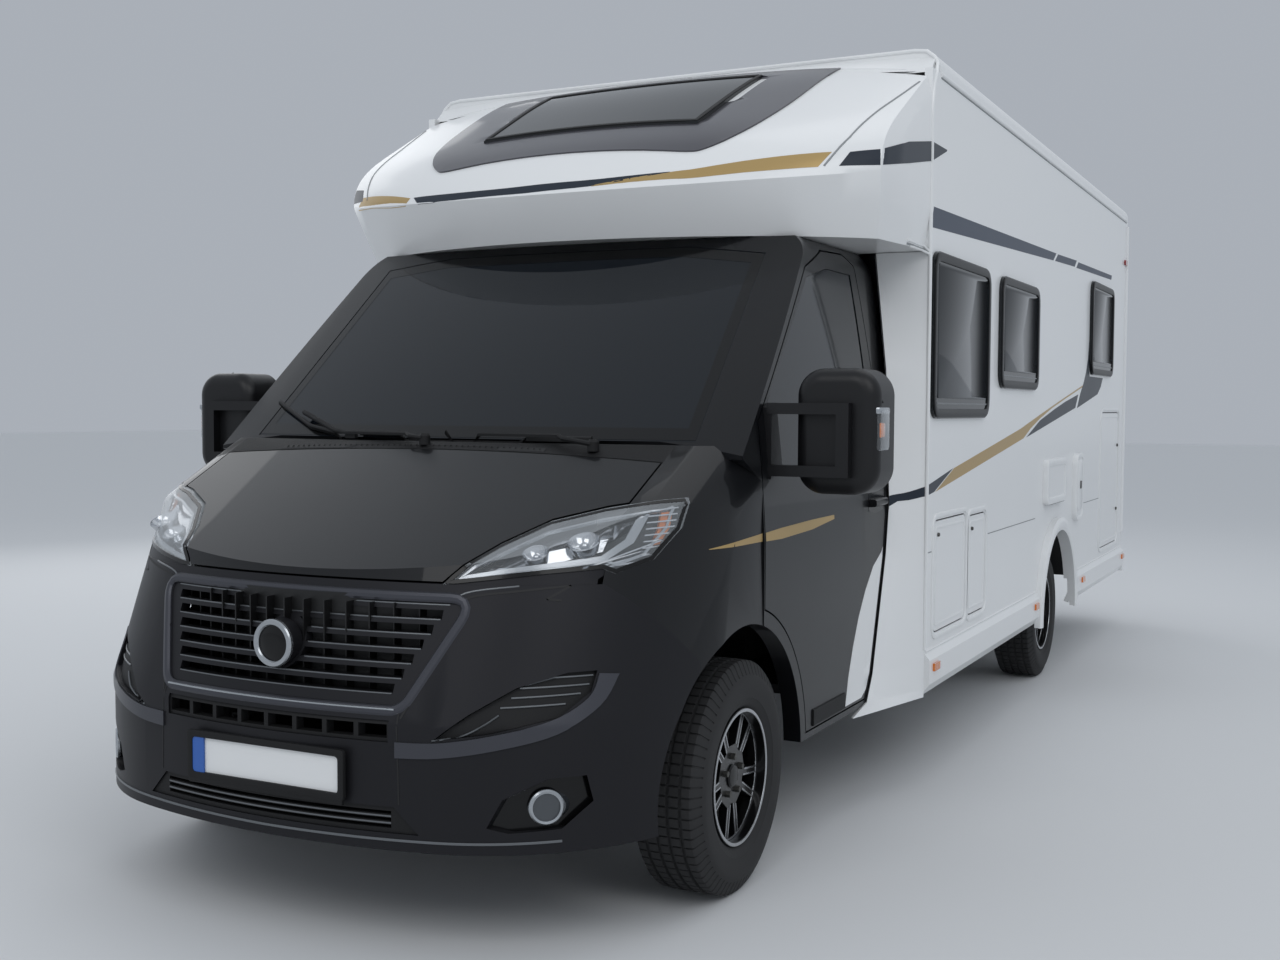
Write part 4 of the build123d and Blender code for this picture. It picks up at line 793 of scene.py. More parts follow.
# Stripes on the coach sides, as (setback, height) corners
GREY_STRIPES = (((2.41, 2.143), (2.444, 2.224), (4.851, 2.282), (4.774, 2.238)),
                ((4.822, 2.240), (4.90, 2.282), (5.448, 2.300), (5.387, 2.260)),
                ((5.443, 2.259), (5.505, 2.296), (6.70, 2.321), (6.68, 2.292)))
SLATE_STRIPES = (((2.41, 1.122), (2.41, 1.160), (2.791, 1.214), (2.506, 1.131)),
                 ((4.185, 1.317), (4.505, 1.398), (4.90, 1.459), (5.20, 1.500), (5.582, 1.543),
                  (5.495, 1.465)),
                 ((5.552, 1.464), (5.649, 1.549), (5.75, 1.612), (5.83, 1.682), (5.885, 1.76),
                  (5.905, 1.86), (5.914, 1.70), (5.95, 1.655), (6.43, 1.655), (6.36, 1.60),
                  (6.243, 1.551)))
GOLD_STRIPE = ((2.525, 1.131), (2.806, 1.214), (4.044, 1.360), (4.501, 1.427), (5.10, 1.512),
               (5.742, 1.600), (5.70, 1.585), (5.25, 1.524), (4.812, 1.462), (4.504, 1.408),
               (4.28, 1.360), (4.116, 1.313))
# Setback, across, upper and lower height
FAIRING_STRIPE = ((2.15, 1.08, 1.128, 1.098), (2.30, 1.14, 1.140, 1.108),
                  (2.392, COACH_SIDE, 1.157, 1.120))
# Flaps and doors, as front, rear, low and high edge and the radius of their corners
LEAF_EDGES = {"gas_locker_flap": (2.51, 3.01, 0.575, 1.02, 0.045),
              "service_flap": (3.05, 3.36, 0.575, 1.005, 0.045),
              "garage_door_left": (6.395, 7.11, 0.575, 1.44, 0.07),
              "garage_door_right": (6.395, 7.11, 0.575, 1.44, 0.07),
              "entrance_door": (3.45, 4.11, 0.575, 2.33, 0.06)}
WINDOWS = {"left": ((2.45, 3.29, 1.45, 2.025), (3.58, 4.34, 1.583, 2.025),
                    (5.95, 6.69, 1.70, 2.195)),
           "right": ((2.55, 3.19, 1.583, 2.025), (4.45, 5.15, 1.70, 2.025),
                     (5.95, 6.69, 1.70, 2.195))}
WINDOW_FACE = COACH_SIDE + 0.014


def clipped(outline, low, high):
    """The part of a (setback, height) outline between two setbacks."""
    for limit, keep in ((low, 1), (high, -1)):
        result = []
        for i, point in enumerate(outline):
            before = outline[i - 1]
            inside = (point[0] - limit) * keep >= 0
            was_inside = (before[0] - limit) * keep >= 0
            if inside != was_inside:
                t = (limit - before[0]) / (point[0] - before[0])
                result.append((limit, before[1] + t * (point[1] - before[1])))
            if inside:
                result.append(point)
        outline = result
        if not outline:
            return []
    return outline


def side_box(front, rear, low, high, y):
    """The corners of a rectangle on a coach side."""
    return side_points(((front, low), (front, high), (rear, high), (rear, low)), y)


def box_outline(edges, radius, y, grow=0.0):
    """A rounded rectangle on a coach side from (front, rear, low, high)."""
    front, rear, low, high = edges
    corners = side_box(front - grow, rear + grow, low - grow, high + grow, y)
    return rounded(corners, max(radius + grow, 0.004))


def wall_film(name, outlines, side, key):
    """Stripes on a coach side. What lies on the entrance door rides on the door."""
    lift = settings().decal_lift
    y = (COACH_SIDE + lift) * side
    whole = [[(s, z) for s, z in outline] for outline in outlines]
    parts = {"": whole}
    if side < 0:
        front, rear = LEAF_EDGES["entrance_door"][:2]
        parts = {"": [clipped(o, 0, front - 0.002) for o in whole]
                 + [clipped(o, rear + 0.002, 9) for o in whole],
                 "_door": [clipped(o, front + 0.008, rear - 0.008) for o in whole]}
    for suffix, shapes in parts.items():
        shapes = [s for s in shapes if len(s) > 2]
        if not shapes:
            continue
        bodies = [slab(side_points(shape, y), (0, -0.0025 * side, 0)) for shape in shapes]
        node = "entrance_door" if suffix else "side_wall_" + ("left" if side > 0 else "right")
        add_piece(name + suffix, bodies, key, node)


class MOTORHOME_OT_graphics(bpy.types.Operator):
    """Lays the grey, slate and gold stripes along both coach sides"""

    bl_idname = "motorhome.graphics"
    bl_label = "Side stripes"

    def execute(self, context):
        for side, name in SIDES:
            wall_film("grey_stripes_" + name, GREY_STRIPES, side, "grey_film")
            wall_film("slate_stripes_" + name, SLATE_STRIPES, side, "slate_film")
            wall_film("gold_stripe_" + name, (GOLD_STRIPE,), side, "gold_film")
            strip = [(place(s, y * side, high), place(s, y * side, low))
                     for s, y, high, low in FAIRING_STRIPE]
            add_piece("fairing_stripe_" + name, band(strip, ("corner_fairings",), lift=0.001),
                      "slate_film", "corner_fairings")
        return {"FINISHED"}


class MOTORHOME_OT_windows(bpy.types.Operator):
    """Gives the coach windows their frames, panes and painted highlight lines near their lower
    edges
    """

    bl_idname = "motorhome.windows"
    bl_label = "Coach windows"

    def execute(self, context):
        for side, name in SIDES:
            frames, panes, lines = [], [], []
            for edges in WINDOWS[name]:
                y = WINDOW_FACE * side
                outer = box_outline(edges, 0.055, y, 0.030)
                inner = box_outline(edges, 0.045, y, -0.004)
                frames.append(ring_slab(outer, inner, (0, 0.006 * side, 0), 0.0025))
                front, rear, low, high = edges
                panes.append(slab(box_outline((front + 0.012, rear - 0.012, low + 0.045,
                                               high - 0.012), 0.035, y),
                                  (0, 0.0035 * side, 0), 0.0015))
                # A thin satin line near each window's foot: a painted highlight
                lines.append(slab(side_box(front + 0.02, rear - 0.02, low + 0.022,
                                           low + 0.028, y), (0, 0.003 * side, 0)))
            body = "windows_" + name
            add_piece("window_frames_" + name, frames, "window_frame", body)
            add_piece("window_panes_" + name, panes, "window_pane", body)
            add_piece("window_highlight_lines_" + name, lines, "bright_edge", body)
        edges = (3.60, 3.96, 1.56, 2.16)
        y = -(COACH_SIDE + 0.008)
        add_piece("entrance_window_frame",
                  ring_slab(box_outline(edges, 0.05, y, 0.018), box_outline(edges, 0.04, y, -0.02),
                            (0, -0.006, 0), 0.002), "window_frame", "entrance_door")
        return {"FINISHED"}


def keyhole_lock(place_at, side, radius=0.016):
    """A small round lock with its barrel, on a coach side."""
    centre = Vector(place_at)
    return joined([lathe([(0, 0), (0, radius), (0.005, radius), (0.008, radius * 0.8), (0.008, 0)],
                         centre, "Y", 20, side),
                   block(centre + Vector((-0.0015, 0.006 * side - 0.003, -radius * 0.6)),
                         centre + Vector((0.0015, 0.006 * side + 0.003, radius * 0.6)))])


class MOTORHOME_OT_flaps(bpy.types.Operator):
    """Frames the flaps and doors, with their locks, hinges and handles"""

    bl_idname = "motorhome.flaps"
    bl_label = "Flaps and doors"

    def execute(self, context):
        for node, (front, rear, low, high, radius) in LEAF_EDGES.items():
            side = -1 if node in ("entrance_door", "garage_door_right") else 1
            wall = "side_wall_left" if side > 0 else "side_wall_right"
            y = COACH_SIDE * side
            edges = (front, rear, low, high)
            outer = box_outline(edges, radius, y, 0.026)
            inner = box_outline(edges, radius, y, 0.008)
            add_piece(node + "_surround", ring_slab(outer, inner, (0, 0.006 * side, 0), 0.0025),
                      "coach_white", wall)
            leaf_outer = box_outline(edges, radius, y, -0.026)
            leaf_inner = box_outline(edges, radius, y, -0.036)
            rim = ring_slab(leaf_outer, leaf_inner, (0, 0.0025 * side, 0), 0.001)
            add_piece(node + "_rim", rim, "coach_white", node)
            gap = ring_slab(box_outline(edges, radius, y - 0.006 * side, -0.0005),
                            box_outline(edges, radius, y - 0.006 * side, -0.0055),
                            (0, -0.02 * side, 0))
            add_piece(node + "_seal", gap, "seal_black", wall)
            if node.endswith("flap"):
                lock = keyhole_lock(place(front + 0.06, y, high - 0.06), side, 0.008)
                add_piece(node + "_lock", lock, "bare_steel", node)
            elif node.startswith("garage"):
                locks = [keyhole_lock(place(rear - 0.055, y, z), side, 0.010)
                         for z in (low + 0.22, high - 0.22)]
                add_piece(node + "_locks", locks, "bare_steel", node)
        plate = slab(box_outline((3.99, 4.06, 1.02, 1.24), 0.02, -COACH_SIDE), (0, -0.01, 0), 0.003)
        grip = rod([place(4.025, -COACH_SIDE - 0.008, 1.06), place(4.025, -COACH_SIDE - 0.04, 1.08),
                    place(4.025, -COACH_SIDE - 0.04, 1.18), place(4.025, -COACH_SIDE - 0.008, 1.2)],
                   0.009, 10, normal=(1, 0, 0))
        add_piece("entrance_handle", [plate, grip], "window_frame", "entrance_door")
        hinges = [block(place(3.440, -COACH_SIDE - 0.012, z), place(3.418, -COACH_SIDE, z + 0.09),
                        0.004) for z in (0.75, 1.30, 1.95)]
        add_piece("entrance_hinges", hinges, "coach_white", "side_wall_right")
        step = block(place(4.10, -1.13, 0.36), place(3.46, -0.86, 0.40), 0.01)
        add_piece("entrance_step", step, "bare_steel", "side_wall_right")
        return {"FINISHED"}


class MOTORHOME_OT_side_fittings(bpy.types.Operator):
    """Adds the vent hatch, the electric inlet, skirt mouldings and seams of the coach sides"""

    bl_idname = "motorhome.side_fittings"
    bl_label = "Side fittings"

    def execute(self, context):
        body = "vent_hatches"
        y = COACH_SIDE
        vent = (4.62, 5.12, 0.9625, 1.1875)
        frame_ring = ring_slab(box_outline(vent, 0.03, y, 0.006), box_outline(vent, 0.03, y, -0.03),
                               (0, 0.028, 0), 0.004)
        inlet = (5.465, 5.655, 0.83, 1.19)
        inlet_ring = ring_slab(box_outline(inlet, 0.06, y, 0.014),
                               box_outline(inlet, 0.05, y, -0.012), (0, 0.028, 0), 0.004)
        lid = slab(box_outline((5.49, 5.63, 0.875, 1.165), 0.04, y + 0.022), (0, 0.006, 0), 0.003)
        add_piece("vent_frames", [frame_ring, inlet_ring, lid], "coach_white", body)
        shade = slab(box_outline((4.66, 5.08, 0.955, 0.970), 0.004, y), (0, 0.026, 0), 0.001)
        latch = slab(box_outline((5.545, 5.575, 1.00, 1.045), 0.008, y + 0.028),
                     (0, 0.005, 0), 0.002)
        add_piece("vent_shadow_gap", shade, "seal_black", body)
        add_piece("inlet_latch", latch, "bare_steel", body)
        for side, name in SIDES:
            body = "skirts"
            y = COACH_SIDE * side
            centre = place(4.983, 0, WHEEL_HEIGHT)
            arc = [centre + Vector((0.487 * math.cos(a), 1.181 * side, 0.487 * math.sin(a)))
                   for a in map(math.radians, spread(-2, 182, 41))]
            lip = sweep(arc, [Vector((0, side, 0))] * len(arc),
                        [(-0.034, -0.012), (0.034, -0.012), (0.034, -0.004), (0.022, 0.004),
                         (0.004, 0.008), (-0.018, 0.006), (-0.034, -0.002)])
            add_piece("arch_moulding_" + name, lip, "coach_white", body)
            edge = [rod([place(a, y, 0.520), place(b, y, 0.520)], 0.006, 8, normal=(0, side, 0))
                    for a, b in ((2.41, 4.47), (5.50, 7.29))]
            add_piece("skirt_bead_" + name, edge, "coach_white", body)
            wall = "side_wall_" + name
            cuts = ((2.41, 2.48), (3.40, 4.43), (5.70, 6.36)) if side > 0 else (
                (2.41, 3.41), (4.15, 4.43), (5.53, 6.36))
            proud = y + 0.0008 * side
            seams = [slab(side_box(a, b, 0.898, 0.902, proud), (0, -0.002 * side, 0))
                     for a, b in cuts]
            add_piece("wall_seams_" + name, seams, "shade_line", wall)
            corner = rod([place(7.305, 1.152 * side, 0.62), place(7.305, 1.152 * side, 2.70)],
                         0.013, 10, normal=(0, side, 0))
            add_piece("rear_corner_bead_" + name, corner, "coach_white", wall)
            gutter = rod([place(2.52, 1.151 * side, 2.735), place(7.29, 1.151 * side, 2.735)],
                         0.008, 8, normal=(0, side, 0))
            add_piece("roof_gutter_" + name, gutter, "coach_white", wall)
            line = slab(side_box(2.52, 7.28, 2.72, 2.726, proud), (0, -0.002 * side, 0))
            add_piece("roof_shadow_line_" + name, line, "shade_line", wall)
        return {"FINISHED"}


NOSE = ("front_bumper", "grille", "lower_grilles", "front_wings", "bonnet", "front_lamps")
GRILLE_CORNERS = ((-0.53, 0.932), (-0.405, 0.668), (0.405, 0.668), (0.53, 0.932))
HEADLAMP_EDGE = ((0.449, 0.977), (0.551, 1.079), (0.640, 1.138), (0.770, 1.174), (0.885, 1.195),
                 (0.940, 1.200), (0.950, 1.185), (0.945, 1.117), (0.910, 1.036), (0.846, 1.004),
                 (0.820, 1.018), (0.700, 1.007))
LAMP_SEAM_TOP = ((0.455, 0.979), (0.56, 0.989), (0.70, 1.006), (0.815, 1.017), (0.838, 1.010))
LAMP_SEAM_LOW = ((0.455, 0.974), (0.56, 0.974), (0.70, 0.976), (0.815, 0.978), (0.838, 0.980))
RING_PLACE = (0.040, 0.0, 0.806)
SCOOP_BAND = (((0.405, 0.536), (0.405, 0.578)), ((0.52, 0.542), (0.52, 0.582)),
              ((0.66, 0.566), (0.65, 0.604)), ((0.79, 0.604), (0.775, 0.638)),
              ((0.862, 0.668), (0.838, 0.690)), ((0.885, 0.745), (0.850, 0.750)))
SCOOP_SLATS = (((0.70, 0.742), (0.832, 0.744)), ((0.69, 0.718), (0.828, 0.722)),
               ((0.675, 0.694), (0.815, 0.700)), ((0.655, 0.670), (0.79, 0.676)))
SCOOP_CREASE = ((0.505, 0.586), (0.57, 0.598), (0.62, 0.624), (0.655, 0.652))
PANEL_CREASE = ((0.836, 0.985), (0.66, 0.965), (0.53, 0.945), (0.497, 0.90), (0.47, 0.80),
                (0.44, 0.70), (0.415, 0.638))


def eased(points, steps=5):
    """A smooth line through points given as tuples."""
    padded = [points[0]] + list(points) + [points[-1]]
    result = []
    for a, b, c, d in zip(padded, padded[1:], padded[2:], padded[3:]):
        for k in range(steps):
            t = k / steps
            result.append(tuple(
                0.5 * (2 * q + (r - p) * t + (2 * p - 5 * q + 4 * r - s) * t * t
                       + (3 * q - p - 3 * r + s) * t ** 3) for p, q, r, s in zip(a, b, c, d)))
    return result + [tuple(points[-1])]


def eased_rungs(pairs, steps=5):
    """Rungs whose two edges are smooth lines."""
    return list(zip(eased([a for a, b in pairs], steps), eased([b for a, b in pairs], steps)))


def nose_points(pairs, side=1):
    """Points ahead of the nose from (y, height) pairs, to be settled on it."""
    return [place(0.2, y * side, z) for y, z in pairs]


def nose_bead(pairs, nodes, section, side=1, step=0.02, closed=False):
    """A seam or a moulding on the nose, its path given in front view."""
    return bead(nose_points(pairs, side), nodes, section, step, closed, AHEAD)


def nose_band(pairs, nodes, side=1, **options):
    """A strip laid on the nose, its rungs given in front view."""
    laid = [nose_points(pair, side) for pair in pairs]
    return band(laid, nodes, direction=AHEAD, **options)


def inset_outline(points, gap):
    """A closed outline in front view pulled in toward its middle by about a gap."""
    count = len(points)
    result = []
    area = sum(points[i - 1][0] * p[1] - p[0] * points[i - 1][1] for i, p in enumerate(points))
    turn = 1 if area > 0 else -1
    for i, point in enumerate(points):
        before = Vector(points[i - 1])
        here = Vector(point)
        after = Vector(points[(i + 1) % count])
        first = (here - before).normalized()
        second = (after - here).normalized()
        lean = Vector((-(first.y + second.y), first.x + second.x)) * turn
        lean.normalize()
        cosine = max(0.5, lean.dot(Vector((-first.y, first.x)) * turn))
        result.append(tuple(here + lean * gap / cosine))
    return result


def grille_setback(middle, y):
    """How far back a part of the grille lies, from its setback in the middle."""
    return middle + 0.58 * y * y


class MOTORHOME_OT_grille(bpy.types.Operator):
    """Dresses the grille: mesh behind its bars, bright bar edges, plain ring and satin frame"""

    bl_idname = "motorhome.grille"
    bl_label = "Grille"

    def execute(self, context):
        body = "grille"
        corners = rounded([(y, 0, z) for y, z in GRILLE_CORNERS], (0.05, 0.03, 0.03, 0.05))
        edge = [(p.x, p.z) for p in corners]
        half_round = [(-0.014, -0.008), (0.014, -0.008), (0.014, 0.0), (0.009, 0.005),
                      (0.0, 0.007), (-0.009, 0.005), (-0.014, 0.0)]
        surround = nose_bead(inset_outline(edge, -0.012), ("front_bumper",), half_round,
                             step=0.025, closed=True)
        add_piece("grille_surround", surround, "frame_satin", body)
        rows, normals = [], []
        for y in spread(-0.53, 0.53, 25):
            rows.append([place(grille_setback(0.115, y), y, z) for z in (0.655, 0.80, 0.945)])
            normals.append([Vector((1, 0, 0))] * 3)
        add_piece("grille_backing", sheet(rows, normals, 0.002, 0.002), "grille_mesh", body)
        ribs = []
        for y in spread(-0.455, 0.455, 15):
            setback = grille_setback(0.082, y)
            low = 0.675 + max(0, abs(y) - 0.40) * 2.1
            ribs.append(block(place(setback + 0.05, y - 0.002, low),
                              place(setback, y + 0.002, 0.925)))
        # A brighter satin strip on the lower edge of the grille's surround: a painted highlight
        lower_edge_highlight = nose_bead(((-0.395, 0.6585), (0.395, 0.6585)), ("front_bumper",),
                          flat_section(0.006, 0.004, 0.0085, 0.002), step=0.025)
        add_piece("grille_lower_edge_highlight", lower_edge_highlight, "satin_metal", body)
        add_piece("grille_ribs", ribs, "grille_mesh", body)
        edges = []
        for k in range(7):
            z = 0.6965 + k * 0.038
            reach = 0.372 + 0.018 * k
            spans = ((-reach, reach),)
            if abs(z - RING_PLACE[2]) < 0.07:
                spans = ((-reach, -0.082), (0.082, reach))
            for a, b in spans:
                edges.append(nose_bead(((a, z), (b, z)), ("grille",),
                                       flat_section(0.0042, -0.002, 0.0016, 0.001), step=0.03))
        add_piece("grille_bar_edges", edges, "bright_edge", body)
        centre = place(*RING_PLACE)
        ring = lathe([(-0.002, 0.049), (-0.002, 0.066), (0.006, 0.066), (0.010, 0.063),
                      (0.010, 0.052), (0.006, 0.049)], centre, "X", 64)
        disc = lathe([(-0.002, 0.0), (-0.002, 0.050), (0.003, 0.050), (0.006, 0.042),
                      (0.007, 0.020), (0.0072, 0.0)], centre, "X", 64)
        add_piece("badge_ring", ring, "satin_metal", body)
        add_piece("badge_blank_disc", disc, "gloss_black", body)
        return {"FINISHED"}


def plate_frame(x, low, depth, bevel):
    """The frame round a number plate that starts at a height."""
    outer, inner = [face_outline(x, -0.26, 0.26, low, low + 0.11, 0.012, grow)
                    for grow in (0.013, -0.006)]
    return ring_slab(outer, inner, (depth, 0, 0), bevel)


class MOTORHOME_OT_bumper(bpy.types.Operator):
    """Adds the bumper's seams, painted highlights along its creases, satin bands, scoop slats,
    plate frame and lower lip
    """

    bl_idname = "motorhome.bumper"
    bl_label = "Bumper"

    def execute(self, context):
        body = "front_bumper"
        bumper = ("front_bumper",)
        both = ("front_bumper", "lower_grilles")
        slit = flat_section(0.0045, -0.002, 0.0008)
        seams, crease_highlights, bands, slats = [], [], [], []
        for side, _ in SIDES:
            seams.append(nose_bead(((0.408, 0.655), (0.413, 0.50), (0.415, 0.412)), bumper, slit,
                                   side))
            seams.append(nose_bead(eased(PANEL_CREASE), bumper,
                                   flat_section(0.006, -0.002, 0.0009), side))
            # Bright strips just above the panel crease and along the scoop's crease: painted
            # highlights
            shifted = eased([(y - 0.012, z + 0.012) for y, z in PANEL_CREASE[1:]])
            crease_highlights.append(nose_bead(shifted, bumper,
                                     flat_section(0.005, -0.002, 0.0022, 0.0012), side))
            bands.append(nose_band(eased_rungs(SCOOP_BAND), both, side, lift=0.0045,
                                   depth=0.004, across=4, step=0.02))
            for pair in SCOOP_SLATS:
                slats.append(nose_bead(pair, ("lower_grilles",),
                                       flat_section(0.005, -0.002, 0.004, 0.001), side))
            crease_highlights.append(nose_bead(eased(SCOOP_CREASE), both,
                                     flat_section(0.005, -0.002, 0.005, 0.002), side))
        add_piece("bumper_seams", seams, "seal_black", body)
        add_piece("bumper_crease_highlights", crease_highlights, "bright_edge", body)
        add_piece("scoop_bands", bands, "frame_satin", body)
        add_piece("scoop_slats", slats, "bright_edge", body)
        filler = []
        for side, _ in SIDES:
            rows, normals = [], []
            tops = even(nose_points(LAMP_SEAM_TOP, side), 0.03)
            lows = even(nose_points(LAMP_SEAM_LOW, side), 0.03)
            count = min(len(tops), len(lows))
            overlap = Vector((0, 0, 0.004))
            for i in range(count):
                a = tops[round(i * (len(tops) - 1) / (count - 1))]
                b = lows[round(i * (len(lows) - 1) / (count - 1))]
                upper = settle(a + overlap, ("front_lamps",), AHEAD)
                lower = settle(b - overlap, bumper, AHEAD)
                rows.append([upper[0].lerp(lower[0], t) for t in (0, 0.5, 1)])
                lean = (upper[1] + lower[1]).normalized()
                normals.append([lean] * 3)
            filler.append(sheet(rows, normals, -0.002, 0.02))
        add_piece("lamp_lower_fillers", filler, "bumper_anthracite", body)
        lines = [nose_bead(((-0.80, 0.322), (-0.4, 0.318), (0, 0.316), (0.4, 0.318),
                            (0.80, 0.322)), bumper, flat_section(0.007, -0.002, 0.003, 0.001),
                           step=0.03)]
        lines += [nose_bead(((-0.39, z), (0.39, z)), ("lower_grilles",),
                            flat_section(0.004, -0.002, 0.0015), step=0.03)
                  for z in (0.361, 0.379)]
        add_piece("bumper_lip_lines", lines, "bright_edge", body)
        plate = "number_plates"
        holder = plate_frame(NOSE_X - 0.002, 0.427, 0.0115, 0.002)
        foot = block((NOSE_X - 0.002, -0.268, 0.402), (NOSE_X + 0.0085, 0.268, 0.430), 0.003)
        add_piece("plate_holder", [holder, foot], "grained_black", plate)
        blue = block((NOSE_X + 0.0015, -0.256, 0.431), (NOSE_X + 0.0068, -0.214, 0.533))
        add_piece("plate_blue_band", blue, "plate_band", plate)
        return {"FINISHED"}


def facing_pose(place_at, direction):
    """A place with its own forward axis turned to a direction."""
    turn = Vector((1, 0, 0)).rotation_difference(direction)
    return Matrix.Translation(place_at) @ turn.to_matrix().to_4x4()


class MOTORHOME_OT_headlamps(bpy.types.Operator):
    """Fills the headlamps and fog lamps behind clear covers"""

    bl_idname = "motorhome.headlamps"
    bl_label = "Front lamps"

    def execute(self, context):
        body = "front_lamps"

        def part_of_lamp(face):
            middle = face.calc_center_median()
            if middle.z < 0.6:
                offset = math.hypot(abs(middle.y) - 0.765, middle.z - 0.412)
                return 1 if offset < 0.0385 else 2
            lean = face.normal
            found = settle(middle + lean * 0.001, NOSE)
            outer = lean.x > 0.25 or lean.z > 0.5 or abs(lean.y) > 0.6
            ahead = surface(("front_lamps",)).ray_cast(middle + lean * 0.002, lean, 0.3)
            return 0 if outer and ahead[0] is None and found[0] is not None else 2

        smooth_copy("front_lamps", ["lamp_cover", "fog_lens", "gloss_black"],
                    choose=part_of_lamp)
        lamp = ("front_lamps",)
        trims, chrome, ambers, bowls, rims, ribs = [], [], [], [], [], []
        for side, _ in SIDES:
            rims.append(nose_bead(inset_outline(HEADLAMP_EDGE, 0.006), lamp,
                                  flat_section(0.012, -0.004, 0.0014, 0.0006), side,
                                  closed=True))
            deep = [(-0.004, -0.016), (0.004, -0.016), (0.004, -0.008), (-0.004, -0.008)]
            chrome.append(nose_bead(inset_outline(HEADLAMP_EDGE, 0.022), lamp, deep, side,
                                    closed=True))
            strip = [((0.50, 0.992), (0.50, 1.004)), ((0.62, 1.012), (0.62, 1.026)),
                     ((0.74, 1.026), (0.74, 1.042)), ((0.82, 1.036), (0.815, 1.054)),
                     ((0.872, 1.085), (0.855, 1.095)), ((0.892, 1.160), (0.872, 1.163))]
            chrome.append(nose_band(strip, lamp, side, lift=-0.010, depth=0.018, step=0.02))
            bowl = [((0.55, 1.03), (0.57, 1.065)), ((0.64, 1.035), (0.65, 1.118)),
                    ((0.74, 1.048), (0.75, 1.155)), ((0.82, 1.07), (0.845, 1.172))]
            trims.append(nose_band(bowl, lamp, side, lift=-0.040, depth=0.050, step=0.02))
            for y, z, radius in ((0.655, 1.075, 0.036), (0.765, 1.105, 0.044)):
                spot = settle(nose_points(((y, z),), side)[0], lamp, AHEAD)
                centre = spot[0] - spot[1] * 0.045
                pose = facing_pose(centre, spot[1])
                cup = lathe([(0.0, 0.0), (0.0, radius * 0.25), (0.012, radius * 0.7),
                             (0.026, radius * 0.96), (0.030, radius), (0.026, radius * 1.04),
                             (-0.004, radius * 0.8), (-0.008, 0.0)], (0, 0, 0), "X", 40)
                bmesh.ops.transform(cup, matrix=pose, verts=cup.verts)
                bowls.append(cup)
                bulb = bmesh.new()
                bmesh.ops.create_uvsphere(bulb, u_segments=16, v_segments=10, radius=radius * 0.3,
                                          matrix=Matrix.Translation(centre + spot[1] * 0.012))
                bowls.append(bulb)
            amber = [((0.905, 1.075), (0.918, 1.078)), ((0.912, 1.12), (0.930, 1.12)),
                     ((0.912, 1.165), (0.930, 1.165))]
            ambers.append(nose_band(amber, lamp, side, lift=-0.012, depth=0.022, step=0.02))
            for i in range(9):
                z = 1.035 + i * 0.017
                ribs.append(nose_bead(((0.888, z), (0.936, z + 0.004)), lamp,
                                      [(-0.002, -0.010), (0.002, -0.010), (0.002, -0.005),
                                       (-0.002, -0.005)], side))
        for name, parts, key in (("rims", rims, "gloss_black"), ("chrome", chrome, "satin_metal"),
                                 ("reflectors", trims, "lamp_reflector"),
                                 ("bowls", bowls, "lamp_reflector"),
                                 ("ambers", ambers, "amber_lens"),
                                 ("ribs", ribs, "lamp_reflector")):
            add_piece("headlamp_" + name, parts, key, body)
        fogs = []
        for side, _ in SIDES:
            spot = settle(nose_points(((0.765, 0.412),), side)[0], lamp, AHEAD)
            ring = lathe([(-0.004, 0.036), (-0.004, 0.047), (0.004, 0.047), (0.008, 0.043),
                          (0.006, 0.037)], (0, 0, 0), "X", 40)
            bmesh.ops.transform(ring, matrix=facing_pose(*spot), verts=ring.verts)
            fogs.append(ring)
        add_piece("fog_lamp_rings", fogs, "satin_metal", body)
        return {"FINISHED"}


GLASS_FRIT = ((-0.850, 1.350), (0.850, 1.350), (0.792, 1.985), (0.5, 2.02), (-0.5, 2.02),
              (-0.792, 1.985))
# Wiper blades and arms on the windscreen, as (setback, y, z), tip to pivot
WIPERS = (((1.066, -0.86, 1.458), (0.93, -0.60, 1.375), (0.862, -0.36, 1.345)),
          ((0.892, -0.36, 1.356), (0.876, 0.002, 1.349), (0.872, 0.53, 1.348)))
WIPER_ARMS = (((0.986, -0.668, 1.413), (0.86, -0.40, 1.345), (0.79, -0.03, 1.325)),
              ((0.876, 0.002, 1.351), (0.85, 0.30, 1.345), (0.79, 0.58, 1.322)))
COWL_VENT = (((0.735, -0.60), (0.790, -0.60)), ((0.725, -0.2), (0.782, -0.2)),
             ((0.725, 0.2), (0.782, 0.2)), ((0.735, 0.42), (0.790, 0.42)))
DECAL = ((0.733, 1.052, 1.050), (0.86, 1.064, 1.050), (1.01, 1.071, 1.049),
         (1.20, 1.080, 1.046), (1.477, 1.087, 1.055), (1.70, 1.089, 1.075))
DOOR_WHITE = ((0.40, 1.838), (0.50, 1.868), (0.60, 1.915), (0.70, 1.975), (0.79, 2.05),
              (0.87, 2.14), (0.93, 2.268))
DOOR_SPLIT = 1.065


def side_settled(setback, z, side):
    """A point out beyond the cab's side, to be settled on it."""
    return place(setback, 1.1 * side, z)


